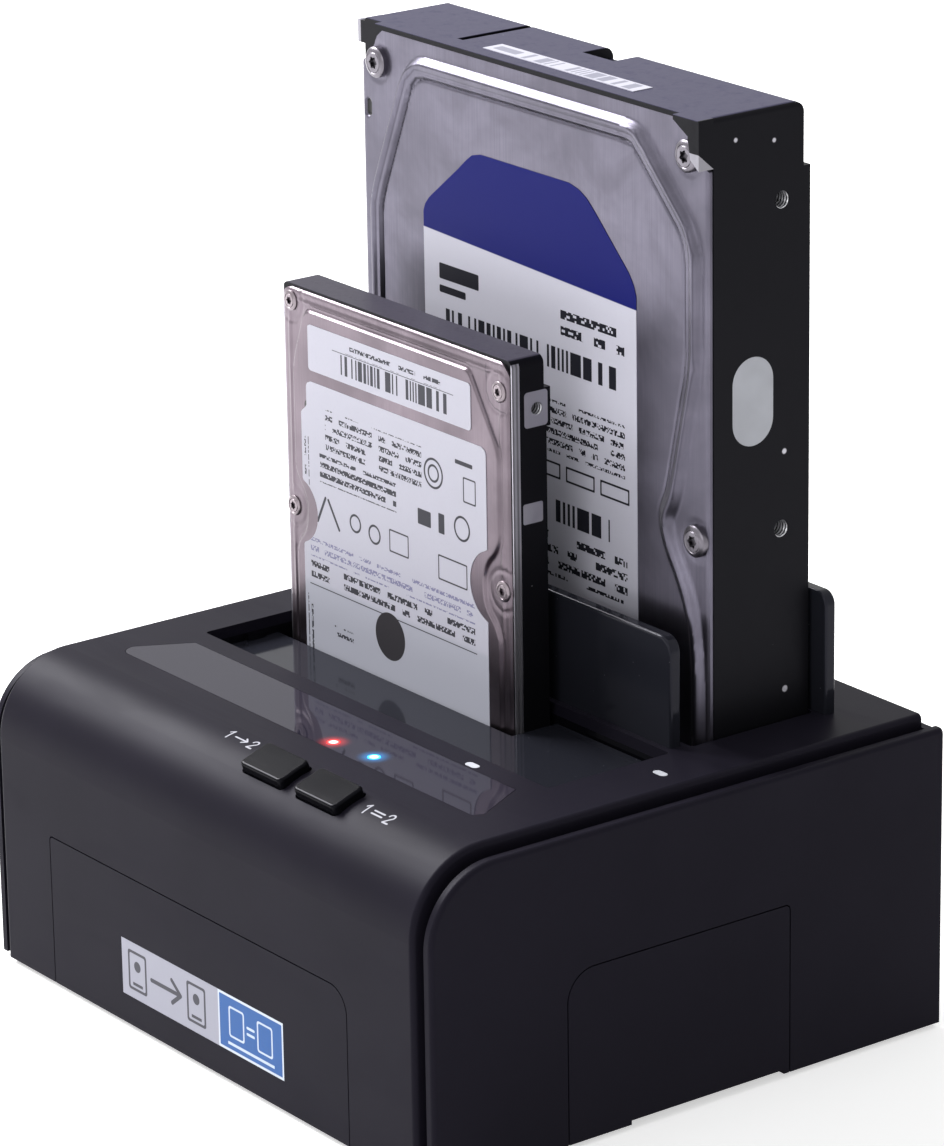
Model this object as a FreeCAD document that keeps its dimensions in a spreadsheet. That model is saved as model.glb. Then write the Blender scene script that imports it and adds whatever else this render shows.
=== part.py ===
import FreeCAD, Part
import math
import os
import Sketcher

# Two-bay drive duplicator with one 3.5 inch and one 2.5 inch drive standing in it. Millimetres.
# The dock is laid out with x = 0 in its middle, y = 0 on its front face (y grows to the rear) and
# z = 0 on the underside of its shell. Every piece is then moved by its Placement so that the
# document's origin lies in the middle of the footprint, at the bottom of the rubber feet.

SIZES = {
    # outer shape
    "width": 137.6, "depth": 115.4, "deck": 59.0, "side_top": 57.0, "nose": 15.0,
    "wall": 2.2, "rim": 2.0, "skin": 2.0, "side_inset": 1.0, "groove": 1.9, "groove_deep": 3.0,
    "rear_wall": 1.7, "rear_drop": 0.5, "lift": 1.0,
    "base_thick": 2.0, "fit_gap": 0.2, "seam": 0.25,
    # bays, tray and flaps
    "bay_mid": -0.9, "bay_long": 105.2, "front_bay": 39.3, "divider": 5.0, "bay_sink": 34.2,
    "bay_spare": 1.1, "fold_spare": 0.9, "drive_back": 0.6, "tray_wall": 1.2, "seat_gap": 0.1,
    "flap_drop": 3.5, "flap_thick": 1.2, "flap_inset": 1.4, "pin_radius": 0.75,
    "guard_thick": 2.4, "front_guard_rise": 20.5, "rear_guard_rise": 23.0,
    # drives
    "hdd_long": 147.0, "hdd_wide": 101.6, "hdd_thick": 26.1, "hdd_inset": 2.7,
    "small_long": 100.2, "small_wide": 69.85, "small_thick": 9.5,
    "plug_x": -20.7, "plug_in": 4.0, "hdd_offset": 20.7, "small_offset": 4.8,
    # buttons
    "button_tilt": 20.0, "button_wide": 12.6, "button_deep": 7.0, "button_rise": 1.5,
    "button_first": 11.8, "button_pitch": 16.2, "button_travel": 0.8,
    # electronics and the power rocker
    "board_low": 9.0, "board_thick": 1.6,
    "rocker_crown": 2.1, "rocker_lean": 10.0, "rocker_sink": 1.5, "rocker_half": 5.2,
    # covers and label on the front and the sides
    "front_cover_left": -48.6, "front_cover_right": 45.5, "front_cover_top": 29.4,
    "side_cover_front": 29.9, "side_cover_rear": 80.0, "side_cover_top": 32.4,
    "label_left": -25.3, "label_right": 25.9, "label_low": 5.7, "label_high": 16.7,
    "label_thick": 0.25,
}

doc = FreeCAD.newDocument("drive_duplicator")
sheet = doc.addObject("Spreadsheet::Sheet", "dims")
for row, (word, number) in enumerate(SIZES.items(), start=1):
    sheet.set("A%d" % row, word)
    sheet.set("B%d" % row, str(number))
    sheet.setAlias("B%d" % row, word)
doc.recompute()


class Dim:
    """A length that knows its number and the formula over the sheet's cells that gives it."""

    def __init__(self, number, text=None):
        self.number = float(number)
        self.fixed = text is None
        self.text = repr(float(number)) if text is None else text

    @staticmethod
    def of(other):
        return other if isinstance(other, Dim) else Dim(other)

    def join(self, other, sign, number):
        if self.fixed and other.fixed:
            return Dim(number)
        return Dim(number, "(%s %s %s)" % (self.text, sign, other.text))

    def __add__(self, other):
        other = Dim.of(other)
        return self.join(other, "+", self.number + other.number)

    def __radd__(self, other):
        return Dim.of(other) + self

    def __sub__(self, other):
        other = Dim.of(other)
        return self.join(other, "-", self.number - other.number)

    def __rsub__(self, other):
        return Dim.of(other) - self

    def __mul__(self, other):
        other = Dim.of(other)
        return self.join(other, "*", self.number * other.number)

    def __rmul__(self, other):
        return Dim.of(other) * self

    def __truediv__(self, other):
        other = Dim.of(other)
        return self.join(other, "/", self.number / other.number)

    def __neg__(self):
        return Dim(0) - self


class Sheet:
    """Reads a cell of the sheet as a Dim: size.width and so on."""

    def __getattr__(self, word):
        return Dim(SIZES[word], "dims." + word)


size = Sheet()


def sine(angle):
    return Dim(math.sin(math.radians(angle.number)), "sin(%s)" % angle.text)


def cosine(angle):
    return Dim(math.cos(math.radians(angle.number)), "cos(%s)" % angle.text)


def bind(thing, slot, dim):
    """Ties one numeric property to its formula."""
    dim = Dim.of(dim)
    if not dim.fixed:
        thing.setExpression(slot, dim.text)


# ---------------------------------------------------------------- placements
# how far the leaning rocker stands out behind the rear panel
rear_proud = size.rocker_crown * cosine(size.rocker_lean) - size.rocker_sink
HOME = (Dim(0), -(size.depth + rear_proud) / 2, size.lift)
PIECES = []


def move(thing, at, turn=(0, 0, 1), angle=0.0, home=True):
    """Placement from three Dims, with a turn about an axis; home adds the dock's own shift."""
    spot = [Dim.of(a) + h if home else Dim.of(a) for a, h in zip(at, HOME)]
    angle = Dim.of(angle)
    point = FreeCAD.Vector(*[s.number for s in spot])
    thing.Placement = FreeCAD.Placement(point, FreeCAD.Rotation(FreeCAD.Vector(*turn), angle.number))
    for axis, s in zip("xyz", spot):
        bind(thing, "Placement.Base." + axis, s)
    bind(thing, "Placement.Rotation.Angle", angle)


def finish(thing, label):
    thing.Label = label
    PIECES.append((label, thing))
    return thing


# ---------------------------------------------------------------- sketches
def rect(x0, x1, y0, y1, r=None):
    """Rectangle, drawn anticlockwise, with round corners of radius r."""
    x0, x1, y0, y1 = [Dim.of(a) for a in (x0, x1, y0, y1)]
    if r is None:
        return [(x0, y0, None), (x1, y0, None), (x1, y1, None), (x0, y1, None)]
    return [(x0 + r, y0, None), (x1 - r, y0, (x1 - r, y0 + r)),
            (x1, y0 + r, None), (x1, y1 - r, (x1 - r, y1 - r)),
            (x1 - r, y1, None), (x0 + r, y1, (x0 + r, y1 - r)),
            (x0, y1 - r, None), (x0, y0 + r, (x0 + r, y0 + r))]


def slot(cx, cy, half, r):
    """Slot along the sketch's x: half its straight length, and its end radius."""
    cx, cy = Dim.of(cx), Dim.of(cy)
    return [(cx - half, cy - r, None), (cx + half, cy - r, (cx + half, cy)),
            (cx + half, cy + r, None), (cx - half, cy + r, (cx - half, cy))]


def upright_slot(cx, cy, half, r):
    cx, cy = Dim.of(cx), Dim.of(cy)
    return [(cx + r, cy - half, None), (cx + r, cy + half, (cx, cy + half)),
            (cx - r, cy + half, None), (cx - r, cy - half, (cx, cy - half))]


def circle(cx, cy, r):
    return ("circle", Dim.of(cx), Dim.of(cy), Dim.of(r))


def line_loop(points):
    return [(Dim.of(x), Dim.of(y), None) for x, y in points]


def pin_point(sketch, geo, pos, x, y):
    """Fixes one point of a sketch at x, y."""
    for kind, value, axis in (("DistanceX", x, -2), ("DistanceY", y, -1)):
        if value is None:
            continue
        if abs(value.number) < 1e-9:
            sketch.addConstraint(Sketcher.Constraint("PointOnObject", geo, pos, axis))
            continue
        index = sketch.addConstraint(Sketcher.Constraint(kind, geo, pos, value.number))
        if not value.fixed:
            name = "c%d" % index
            sketch.renameConstraint(index, name)
            sketch.setExpression("Constraints." + name, value.text)


def add_loop(sketch, loop):
    """Draws one closed loop of lines and arcs, or a circle, and ties its points to the sheet."""
    if loop[0] == "circle":
        _, cx, cy, r = loop
        geo = sketch.addGeometry(
            Part.Circle(FreeCAD.Vector(cx.number, cy.number, 0), FreeCAD.Vector(0, 0, 1), r.number))
        pin_point(sketch, geo, 3, cx, cy)
        index = sketch.addConstraint(Sketcher.Constraint("Radius", geo, r.number))
        if not r.fixed:
            name = "c%d" % index
            sketch.renameConstraint(index, name)
            sketch.setExpression("Constraints." + name, r.text)
        return
    ends = []
    count = len(loop)
    for i, (x, y, centre) in enumerate(loop):
        nx, ny, _ = loop[(i + 1) % count]
        start = FreeCAD.Vector(x.number, y.number, 0)
        stop = FreeCAD.Vector(nx.number, ny.number, 0)
        if centre is None:
            geo = sketch.addGeometry(Part.LineSegment(start, stop))
            ends.append((geo, 1, 2, None))
            continue
        cx, cy = centre
        middle = FreeCAD.Vector(cx.number, cy.number, 0)
        first = math.atan2(start.y - middle.y, start.x - middle.x)
        last = math.atan2(stop.y - middle.y, stop.x - middle.x)
        sweep = (last - first) % (2 * math.pi)
        ring = Part.Circle(middle, FreeCAD.Vector(0, 0, 1), (start - middle).Length)
        if sweep <= math.pi + 1e-6:
            geo = sketch.addGeometry(Part.ArcOfCircle(ring, first, first + sweep))
            ends.append((geo, 1, 2, (centre, start, stop)))
        else:
            geo = sketch.addGeometry(Part.ArcOfCircle(ring, last, last + 2 * math.pi - sweep))
            ends.append((geo, 2, 1, (centre, start, stop)))
    for (geo, _, last_pos, _), (next_geo, next_pos, _, _) in zip(ends, ends[1:] + ends[:1]):
        sketch.addConstraint(Sketcher.Constraint("Coincident", geo, last_pos, next_geo, next_pos))
    for (x, y, _), (geo, first_pos, _, arc) in zip(loop, ends):
        pin_point(sketch, geo, first_pos, x, y)
        if arc is not None:
            (cx, cy), start, stop = arc
            chord = stop - start
            if abs(chord.y) >= abs(chord.x):
                pin_point(sketch, geo, 3, cx, None)
            else:
                pin_point(sketch, geo, 3, None, cy)


class Body:
    """A PartDesign body built from blocks and cuts that lie square to x, y or z."""

    ROLE = {"x": "YZ_Plane", "y": "XZ_Plane", "z": "XY_Plane"}

    def __init__(self, label, at=(0, 0, 0), turn=(1, 0, 0), angle=0.0):
        self.body = doc.addObject("PartDesign::Body", label)
        move(self.body, at, turn, angle)
        finish(self.body, label)

    def sketch(self, axis, offset, loops, tilt=None):
        sketch = self.body.newObject("Sketcher::SketchObject", self.body.Name + "_sketch")
        role = self.ROLE[axis]
        plane = [f for f in self.body.Origin.OriginFeatures if f.Role == role][0]
        sketch.AttachmentSupport = [(plane, "")]
        sketch.MapMode = "FlatFace"
        if tilt is None:
            sketch.AttachmentOffset = FreeCAD.Placement(
                FreeCAD.Vector(0, 0, offset.number), FreeCAD.Rotation())
            bind(sketch, "AttachmentOffset.Base.z", offset)
        else:
            ty, tz, angle = tilt
            y = ty - offset * sine(angle)
            z = tz + offset * cosine(angle)
            sketch.AttachmentOffset = FreeCAD.Placement(
                FreeCAD.Vector(0, y.number, z.number),
                FreeCAD.Rotation(FreeCAD.Vector(1, 0, 0), angle.number))
            bind(sketch, "AttachmentOffset.Base.y", y)
            bind(sketch, "AttachmentOffset.Base.z", z)
            bind(sketch, "AttachmentOffset.Rotation.Angle", angle)
        for loop in loops:
            add_loop(sketch, loop)
        return sketch

    def block(self, axis, loops, low, high, tilt=None):
        """Adds material between low and high along the axis. An xz sketch looks along -y."""
        low, high = Dim.of(low), Dim.of(high)
        start = -high if axis == "y" else low
        pad = self.body.newObject("PartDesign::Pad", self.body.Name + "_pad")
        pad.Profile = self.sketch(axis, start, loops, tilt)
        pad.Length = (high - low).number
        bind(pad, "Length", high - low)
        return self

    def cut(self, axis, loops, low, high, tilt=None):
        """Removes material between low and high along the axis."""
        low, high = Dim.of(low), Dim.of(high)
        start = -low if axis == "y" else high
        pocket = self.body.newObject("PartDesign::Pocket", self.body.Name + "_pocket")
        pocket.Profile = self.sketch(axis, start, loops, tilt)
        pocket.Length = (high - low).number
        bind(pocket, "Length", high - low)
        return self

    def soften(self, radius, pick, kind="Fillet"):
        """Rounds or bevels the edges for which pick is true."""
        doc.recompute()
        tip = self.body.Tip
        names = ["Edge%d" % (i + 1) for i, edge in enumerate(tip.Shape.Edges) if pick(edge)]
        if not names:
            raise RuntimeError("no edge to soften on " + self.body.Name)
        feature = self.body.newObject("PartDesign::" + kind, self.body.Name + "_" + kind.lower())
        feature.Base = (tip, names)
        slot_name = "Radius" if kind == "Fillet" else "Size"
        setattr(feature, slot_name, Dim.of(radius).number)
        bind(feature, slot_name, radius)
        return self


def level(edge, axis, value):
    """True for an edge that lies wholly at one value of one axis."""
    value = Dim.of(value).number
    box = edge.BoundBox
    low = getattr(box, axis.upper() + "Min")
    high = getattr(box, axis.upper() + "Max")
    return abs(low - value) < 1e-3 and abs(high - value) < 1e-3


# ---------------------------------------------------------------- Part primitives
TURN = {"x": ((0, 1, 0), 90.0), "y": ((1, 0, 0), -90.0), "z": ((0, 0, 1), 0.0)}


def rod(name, at, axis, radius, length, home=False):
    """Cylinder from a point along an axis."""
    thing = doc.addObject("Part::Cylinder", name)
    thing.Radius = Dim.of(radius).number
    thing.Height = Dim.of(length).number
    bind(thing, "Radius", radius)
    bind(thing, "Height", length)
    turn, angle = TURN[axis]
    move(thing, at, turn, angle, home)
    return thing


def brick(name, x, y, z, home=False):
    """Box between pairs of Dims."""
    thing = doc.addObject("Part::Box", name)
    pairs = [(Dim.of(a), Dim.of(b)) for a, b in (x, y, z)]
    for prop, (low, high) in zip(("Length", "Width", "Height"), pairs):
        setattr(thing, prop, (high - low).number)
        bind(thing, prop, high - low)
    move(thing, [p[0] for p in pairs], home=home)
    return thing


def fused(name, things):
    joined = doc.addObject("Part::MultiFuse", name)
    joined.Shapes = things
    return joined


def carved(name, base, tool):
    result = doc.addObject("Part::Cut", name)
    result.Base = base
    result.Tool = tool
    return result


# ---------------------------------------------------------------- shared positions
half = size.width / 2
shell_half = half - size.skin - size.groove
shell_end = size.depth - size.rear_wall
under_deck = size.deck - size.wall
bay_left = size.bay_mid - size.bay_long / 2
bay_right = size.bay_mid + size.bay_long / 2
front_bay_end = size.front_bay + size.hdd_thick + size.bay_spare
rear_bay = front_bay_end + size.divider
rear_bay_end = rear_bay + size.hdd_thick + size.bay_spare + size.fold_spare
seat = size.deck - size.bay_sink
flap_top = size.deck - size.flap_drop
tray_low = seat - size.seat_gap - size.tray_wall
board_top = size.board_low + size.board_thick

hdd_mid = size.plug_x + size.hdd_offset
hdd_face = rear_bay_end - size.drive_back - size.hdd_thick
small_mid = size.plug_x + size.small_offset
small_face = front_bay_end - size.drive_back - size.small_thick
front_plug_y = front_bay_end - size.drive_back - size.plug_in
rear_plug_y = rear_bay_end - size.drive_back - size.plug_in

# middle of a button on the nose's curve, in the dock's frame
button_y = size.nose - size.nose * sine(size.button_tilt)
button_z = size.deck - size.nose + size.nose * cosine(size.button_tilt)
button_tilt = (button_y, button_z, size.button_tilt)
button_places = {"backup": size.button_first, "mirror": size.button_first + size.button_pitch}
switch_board_top = Dim(-10.7)

boss_places = [((shell_half - 6) * s, y) for y in (Dim(12.0), size.depth - 8.9) for s in (-1, 1)]
foot_places = [((half - 21.4) * s, y) for y in (Dim(15.0), size.depth - 15.0) for s in (-1, 1)]
post_places = [(x, y) for y in (Dim(40.0), shell_end - 6.7) for x in (-46.6, 48.4)]
red_spot = (size.bay_mid + 10.5, size.front_bay - 15.5)
blue_spot = (size.bay_mid + 21.1, size.front_bay - 14.3)
front_spot = (bay_right - 17.3, size.front_bay - 3.3)
rear_spot = ((bay_right + shell_half) / 2, front_bay_end - 7.5)


def side_profile(front, rear, top, low, radius):
    """The dock's side shape: square at the rear, with a round nose at the upper front."""
    front, rear, top, low = Dim.of(front), Dim.of(rear), Dim.of(top), Dim.of(low)
    return [(front, low, None), (rear, low, None), (rear, top, None),
            (front + radius, top, (front + radius, top - radius)), (front, top - radius, None)]


def cover_outline(left, right, top, low, big_left, big_right):
    """A cover's outline that is square below and has its own radius at each upper corner."""
    return [(left, Dim.of(low), None), (right, Dim.of(low), None),
            (right, top - big_right, (right - big_right, top - big_right)),
            (right - big_right, top, None),
            (left + big_left, top, (left + big_left, top - big_left)),
            (left, top - big_left, None)]


# ---------------------------------------------------------------- the dock's housing
def make_upper_shell():
    """Front, nose, deck and inner side walls in one moulding, open below and at the rear."""
    shell = Body("upper_shell")
    shell.block("x", [side_profile(0, shell_end, size.deck, 0, size.nose)], -shell_half, shell_half)
    shell.soften(1.0, lambda e: (level(e, "x", shell_half) or level(e, "x", -shell_half))
                 and not level(e, "z", 0) and not level(e, "y", shell_end))
    inner = shell_half - size.rim
    shell.cut("x", [side_profile(size.wall, shell_end + 1, under_deck, -1, size.nose - size.wall)],
              -inner, inner)
    for low, high in ((size.front_bay, front_bay_end), (rear_bay, rear_bay_end)):
        shell.cut("z", [rect(bay_left, bay_right, low, high, 0.8)], under_deck - 1, size.deck + 1)
    shell.cut("z", [window_outline(Dim(0))], size.deck - 1.2, size.deck + 1)
    lights = [circle(x, y, 1.3) for x, y in (red_spot, blue_spot)]
    shell.cut("z", lights, under_deck - 1, size.deck)
    marks = [slot(x, y, 0.8, 0.9) for x, y in (front_spot, rear_spot)]
    shell.cut("z", marks, under_deck - 1, size.deck + 1)
    holes = []
    for x in button_places.values():
        reach_x = size.button_wide / 2 + size.seam
        reach_y = size.button_deep / 2 + size.seam
        holes.append(rect(x - reach_x, x + reach_x, -reach_y, reach_y, 1.3))
    shell.cut("z", holes, -5, 4, button_tilt)
    shell.cut("y", [cover_outline(size.front_cover_left, size.front_cover_right,
                                  size.front_cover_top, -1, 1.0, 5.0)], -1, size.wall + 1)
    bosses = [circle(x, y, 3.0) for x, y in boss_places]
    shell.block("z", bosses, size.base_thick, under_deck + 0.5)
    shell.cut("z", [circle(x, y, 1.25) for x, y in boss_places], 0, 12)
    posts = [circle(x, 0, 2.2) for x in (size.button_first - 12, size.button_first + 28.5)]
    shell.block("z", posts, switch_board_top, -1.4, button_tilt)


def window_outline(gap):
    """The status strip: a long trapezium whose slanting ends are rounded at the front."""
    left, right = size.bay_mid - 54.6, size.bay_mid + 55.6
    low, high = size.front_bay - 18.0, size.front_bay - 4.6
    return [(left + 3.0 + gap, low + gap, None), (right - 1.0 - gap, low + gap, None),
            (right - gap, low + 2.0, None), (right - 6.0 - gap, high - gap, None),
            (left + 5.6 + gap, high - gap, None), (left + gap, low + 3.0, (left + 3.0, low + 3.0))]


def make_side_panel(name, s):
    """Outer side plate with a ledge behind it that holds it off the shell and floors the groove."""
    def span(near, far):
        return (near, far) if s > 0 else (-far, -near)

    panel = Body(name)
    plate_in = half - size.skin
    panel.block("x", [side_profile(size.side_inset, size.depth, size.side_top, 0,
                                   size.nose - size.side_inset)], *span(plate_in, half))
    panel.soften(0.9, lambda e: level(e, "x", half * s) and not level(e, "z", 0)
                 and not level(e, "y", size.depth))
    panel.block("x", [side_profile(size.groove_deep, shell_end, size.side_top - size.groove_deep, 0,
                                   size.nose - size.groove_deep)], *span(shell_half, plate_in))
    hollow = rect(9.0, shell_end - 6, 5.0, size.side_top - 9, 4.0)
    panel.cut("x", [hollow], *span(shell_half - 1, plate_in))
    panel.cut("x", [cover_outline(size.side_cover_front, size.side_cover_rear,
                                  size.side_cover_top, -1, 6.0, 1.2)], *span(shell_half - 1, half + 1))


def make_side_cover(name, s):
    """Blanking cover in the side panel, hollow behind, with a finger notch below."""
    def span(near, far):
        return (near, far) if s > 0 else (-far, -near)

    cover = Body(name)
    front = size.side_cover_front + size.seam
    rear = size.side_cover_rear - size.seam
    top = size.side_cover_top - size.seam
    cover.block("x", [cover_outline(front, rear, top, 0, 5.75, 0.95)], *span(shell_half, half))
    cover.cut("x", [rect(front + 2, rear - 2, 3.0, top - 6, 2.0)], *span(shell_half - 1, half - 1.6))
    cover.cut("x", [rect(size.side_cover_front + 14, rear - 1.2, -1, 0.8)],
              *span(half - 1.6, half + 1))


def make_rear_panel():
    """Rear wall between the side plates, with the sockets' cut-outs and a row of vent slots."""
    panel = Body("rear_panel")
    reach = half - size.skin
    top = size.side_top - size.rear_drop
    panel.block("y", [rect(-reach, reach, 0, top)], shell_end, size.depth)
    panel.cut("y", [rect(usb_x - 6.2, usb_x + 6.2, board_top - 0.2, board_top + 11.3),
                    circle(jack_x, jack_z, 4.7),
                    rect(rocker_x - 6.6, rocker_x + 6.6, rocker_z - 4.6, rocker_z + 4.6)],
              shell_end - 1, size.depth + 1)
    vents = [upright_slot(-42.6 + 5.0 * i, 40.0, 5.0, 1.0) for i in range(16)]
    panel.cut("y", vents, shell_end - 1, size.depth + 1)


def make_base_plate():
    """Bottom plate with board posts, sunk screw seats, foot seats and vent slots."""
    base = Body("base_plate")
    reach = shell_half - size.rim - size.fit_gap
    base.block("z", [rect(-reach, reach, size.wall + size.fit_gap, shell_end)], 0, size.base_thick)
    base.block("z", [circle(x, y, 3.0) for x, y in post_places], size.base_thick, size.board_low)
    base.block("z", [circle(x, y, 1.4) for x, y in post_places], size.board_low, board_top + 0.8)
    base.cut("z", [circle(x, y, 1.6) for x, y in boss_places], -1, size.base_thick + 1)
    base.cut("z", [circle(x, y, 3.1) for x, y in boss_places], -1, 1.1)
    base.cut("z", [circle(x, y, 6.2) for x, y in foot_places], -1, 0.6)
    vents = [slot(size.bay_mid, 36.0 + 6.0 * i, 18.0, 1.1) for i in range(9)]
    base.cut("z", vents, -1, size.base_thick + 1)


def make_front_cover():
    """Blanking cover in the front, with a flange behind the wall and a seat for the label."""
    cover = Body("front_blank_cover")
    left = size.front_cover_left + size.seam
    right = size.front_cover_right - size.seam
    top = size.front_cover_top - size.seam
    cover.block("y", [cover_outline(left, right, top, 0, 0.8, 4.75)], 0, size.wall)
    low = size.base_thick + 0.2
    cover.block("y", [rect(left - 2.2, right + 2.2, low, top + 2.2, 1.0)], size.wall, size.wall + 1.2)
    cover.cut("y", [rect(size.label_left, size.label_right, size.label_low, size.label_high)],
              -1, size.label_thick)


def make_label():
    """Printed label that lies flush in the front cover."""
    label = brick("front_label_sheet", (size.label_left, size.label_right), (0, size.label_thick),
                  (size.label_low, size.label_high), home=True)
    finish(label, "front_label")


def make_tray():
    """Glossy insert below the deck: two wells with slotted floors and the flap hinges' bores."""
    tray = Body("bay_tray")
    t = size.tray_wall
    tray.block("z", [rect(bay_left - t, bay_right + t, size.front_bay - t, rear_bay_end + t)],
               tray_low, under_deck)
    for low, high in ((size.front_bay, front_bay_end), (rear_bay, rear_bay_end)):
        tray.cut("z", [rect(bay_left, bay_right, low, high)], seat - size.seat_gap, under_deck + 1)
    tray.cut("z", [rect(bay_left + 2, bay_right - 2, front_bay_end + t, rear_bay - t)],
             tray_low - 1, under_deck - 4)
    for y in (front_plug_y, rear_plug_y):
        tray.cut("z", [rect(size.plug_x - 20.2, size.plug_x + 20.2, y - 2.4, y + 2.4)],
                 tray_low - 1, seat + 1)
    tray.cut("x", [circle(front_axis[0], front_axis[1], size.pin_radius + 0.05)],
             bay_left - t - 1, bay_right + t + 1)
    tray.cut("x", [circle(rear_axis[0], rear_axis[1], rear_pin_radius + 0.05)],
             bay_left - t - 1, bay_right + t + 1)
    tray.cut("x", [rect(rear_bay - 1.25, rear_bay + 0.5, rear_axis[1] - 1.4, under_deck + 1)],
             bay_left, bay_right)
    near, far = size.front_bay + 9, size.front_bay + 13
    stops = [rect(bay_left - 0.3, bay_left + 1.2, near, far),
             rect(bay_right - 1.2, bay_right + 0.3, near, far)]
    tray.block("z", stops, flap_top + 0.05, under_deck)


def make_guard(name, left, right, y, rise, corner):
    """Upright wall on the deck that backs a standing drive."""
    guard = Body(name)
    top = size.deck + rise
    loop = [(left, size.deck, None), (right, size.deck, None),
            (right, top - corner, (right - corner, top - corner)), (right - corner, top, None),
            (left + corner, top, (left + corner, top - corner)), (left, top - corner, None)]
    guard.block("y", [loop], y, y + size.guard_thick)
    guard.soften(0.5, lambda e: level(e, "y", y) or level(e, "y", y + size.guard_thick)
                 if not level(e, "z", size.deck) else False)


# ---------------------------------------------------------------- lights and buttons
def make_window():
    """Glossy strip let into the deck."""
    window = Body("status_window")
    window.block("z", [window_outline(Dim(0.1))], size.deck - 1.2, size.deck)
    window.cut("z", [circle(x, y, 1.3) for x, y in (red_spot, blue_spot)], size.deck - 2, size.deck + 1)


def make_led(name, spot):
    """Light with its tip level with the strip and a collar below the deck."""
    x, y = spot
    tip = rod(name + "_tip", (x, y, under_deck), "z", 1.2, size.wall)
    collar = rod(name + "_collar", (x, y, under_deck - 2.0), "z", 1.9, 2.0)
    lamp = fused(name, [tip, collar])
    move(lamp, (0, 0, 0))
    finish(lamp, name)


def make_indicator(name, spot):
    """Small oval lens in the deck with a flange below it."""
    lens = Body(name)
    x, y = spot
    lens.block("z", [slot(x, y, 0.8, 0.8)], under_deck, size.deck)
    lens.block("z", [slot(x, y, 1.0, 1.5)], under_deck - 1.0, under_deck)


def make_button(name, x):
    """Push button square to the nose: cap, retaining flange and stem."""
    button = Body(name + "_button", (x, button_y, button_z), (1, 0, 0), size.button_tilt)
    rx, ry = size.button_wide / 2, size.button_deep / 2
    button.block("z", [rect(-rx, rx, -ry, ry, 1.1)], -3.6, size.button_rise)
    button.soften(0.5, lambda e: level(e, "z", size.button_rise))
    button.block("z", [rect(-rx - 0.9, rx + 0.9, -ry - 0.9, ry + 0.9, 1.0)], -4.6, -3.6)
    button.block("z", [circle(0, 0, 1.5)], -6.2, -4.6)


def make_tact(name, x):
    """Small key switch under a button, clear of the stem by its travel and a little more."""
    tact = Body(name + "_key_switch", (x, button_y, button_z), (1, 0, 0), size.button_tilt)
    tact.block("z", [rect(-3, 3, -3, 3, 0.5)], switch_board_top, -8.2)
    tact.block("z", [circle(0, 0, 1.4)], -8.2, Dim(-6.4) - size.button_travel)


def make_switch_board():
    """Small circuit board that carries both key switches, on two posts below the nose."""
    x = size.button_first
    board = Body("switch_board", (x, button_y, button_z), (1, 0, 0), size.button_tilt)
    board.block("z", [rect(-14.5, 31.0, -4.5, 4.5, 1.0)], switch_board_top - 1.2, switch_board_top)
    board.cut("z", [circle(-6.5, 0, 0.8), circle(23.0, 0, 0.8)], -14, -9)


# ---------------------------------------------------------------- electronics
usb_x = Dim(8.9)
jack_x = Dim(23.4)
rocker_x = Dim(38.9)
jack_z = board_top + 5.5
rocker_z = board_top + 6.0


def make_main_board():
    """Main circuit board on the base plate's posts."""
    board = Body("main_board")
    board.block("z", [rect(-51.6, 51.4, 35.5, shell_end - 1.0, 1.0)], size.board_low, board_top)
    board.cut("z", [circle(x, y, 1.5) for x, y in post_places], size.board_low - 1, board_top + 1)


def make_chip():
    """Bridge chip on the main board."""
    chip = Body("bridge_chip")
    near = front_plug_y + 10
    chip.block("z", [rect(23.4, 37.4, near, near + 14, 0.4)], board_top, board_top + 1.4)
    chip.soften(0.3, lambda e: level(e, "z", board_top + 1.4), "Chamfer")


def make_socket(name, y):
    """Upright drive socket: a base on the board and a nose with two tongue slots."""
    socket = Body(name, (size.plug_x, y, 0))
    neck = tray_low - size.seat_gap
    socket.block("z", [rect(-21.5, 21.5, -3.4, 3.4)], board_top, neck)
    socket.block("z", [rect(-19.2, 19.2, -1.9, 1.9)], neck, seat + 5.2)
    socket.cut("z", [rect(-18.2, -7.4, -0.75, 0.75), rect(-4.6, 17.6, -0.75, 0.75)],
               seat - 0.3, seat + 6)


def make_usb():
    """Square host socket at the board's rear edge, with its tongue."""
    usb = Body("usb_socket", (usb_x, 0, board_top))
    usb.block("y", [rect(-6.0, 6.0, 0, 11.0, 0.6)], size.depth - 14.2, size.depth - 0.2)
    usb.cut("y", [rect(-4.3, 4.3, 1.6, 9.4, 0.8)], size.depth - 9.2, size.depth + 1)
    usb.block("y", [rect(-2.8, 2.8, 3.9, 7.1)], size.depth - 9.2, size.depth - 1.2)


def make_jack():
    """Power jack: a block on the board, a round mouth in the rear panel and a centre pin."""
    jack = Body("dc_jack", (jack_x, 0, jack_z))
    jack.block("y", [rect(-4.6, 4.6, -5.5, 5.5)], size.depth - 14, shell_end)
    jack.block("y", [circle(0, 0, 4.5)], shell_end, size.depth - 0.1)
    jack.cut("y", [circle(0, 0, 2.8)], size.depth - 10.1, size.depth + 1)
    jack.block("y", [circle(0, 0, 1.0)], size.depth - 10.1, size.depth - 1.0)


rocker_pivot = size.depth - size.rocker_sink


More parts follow.
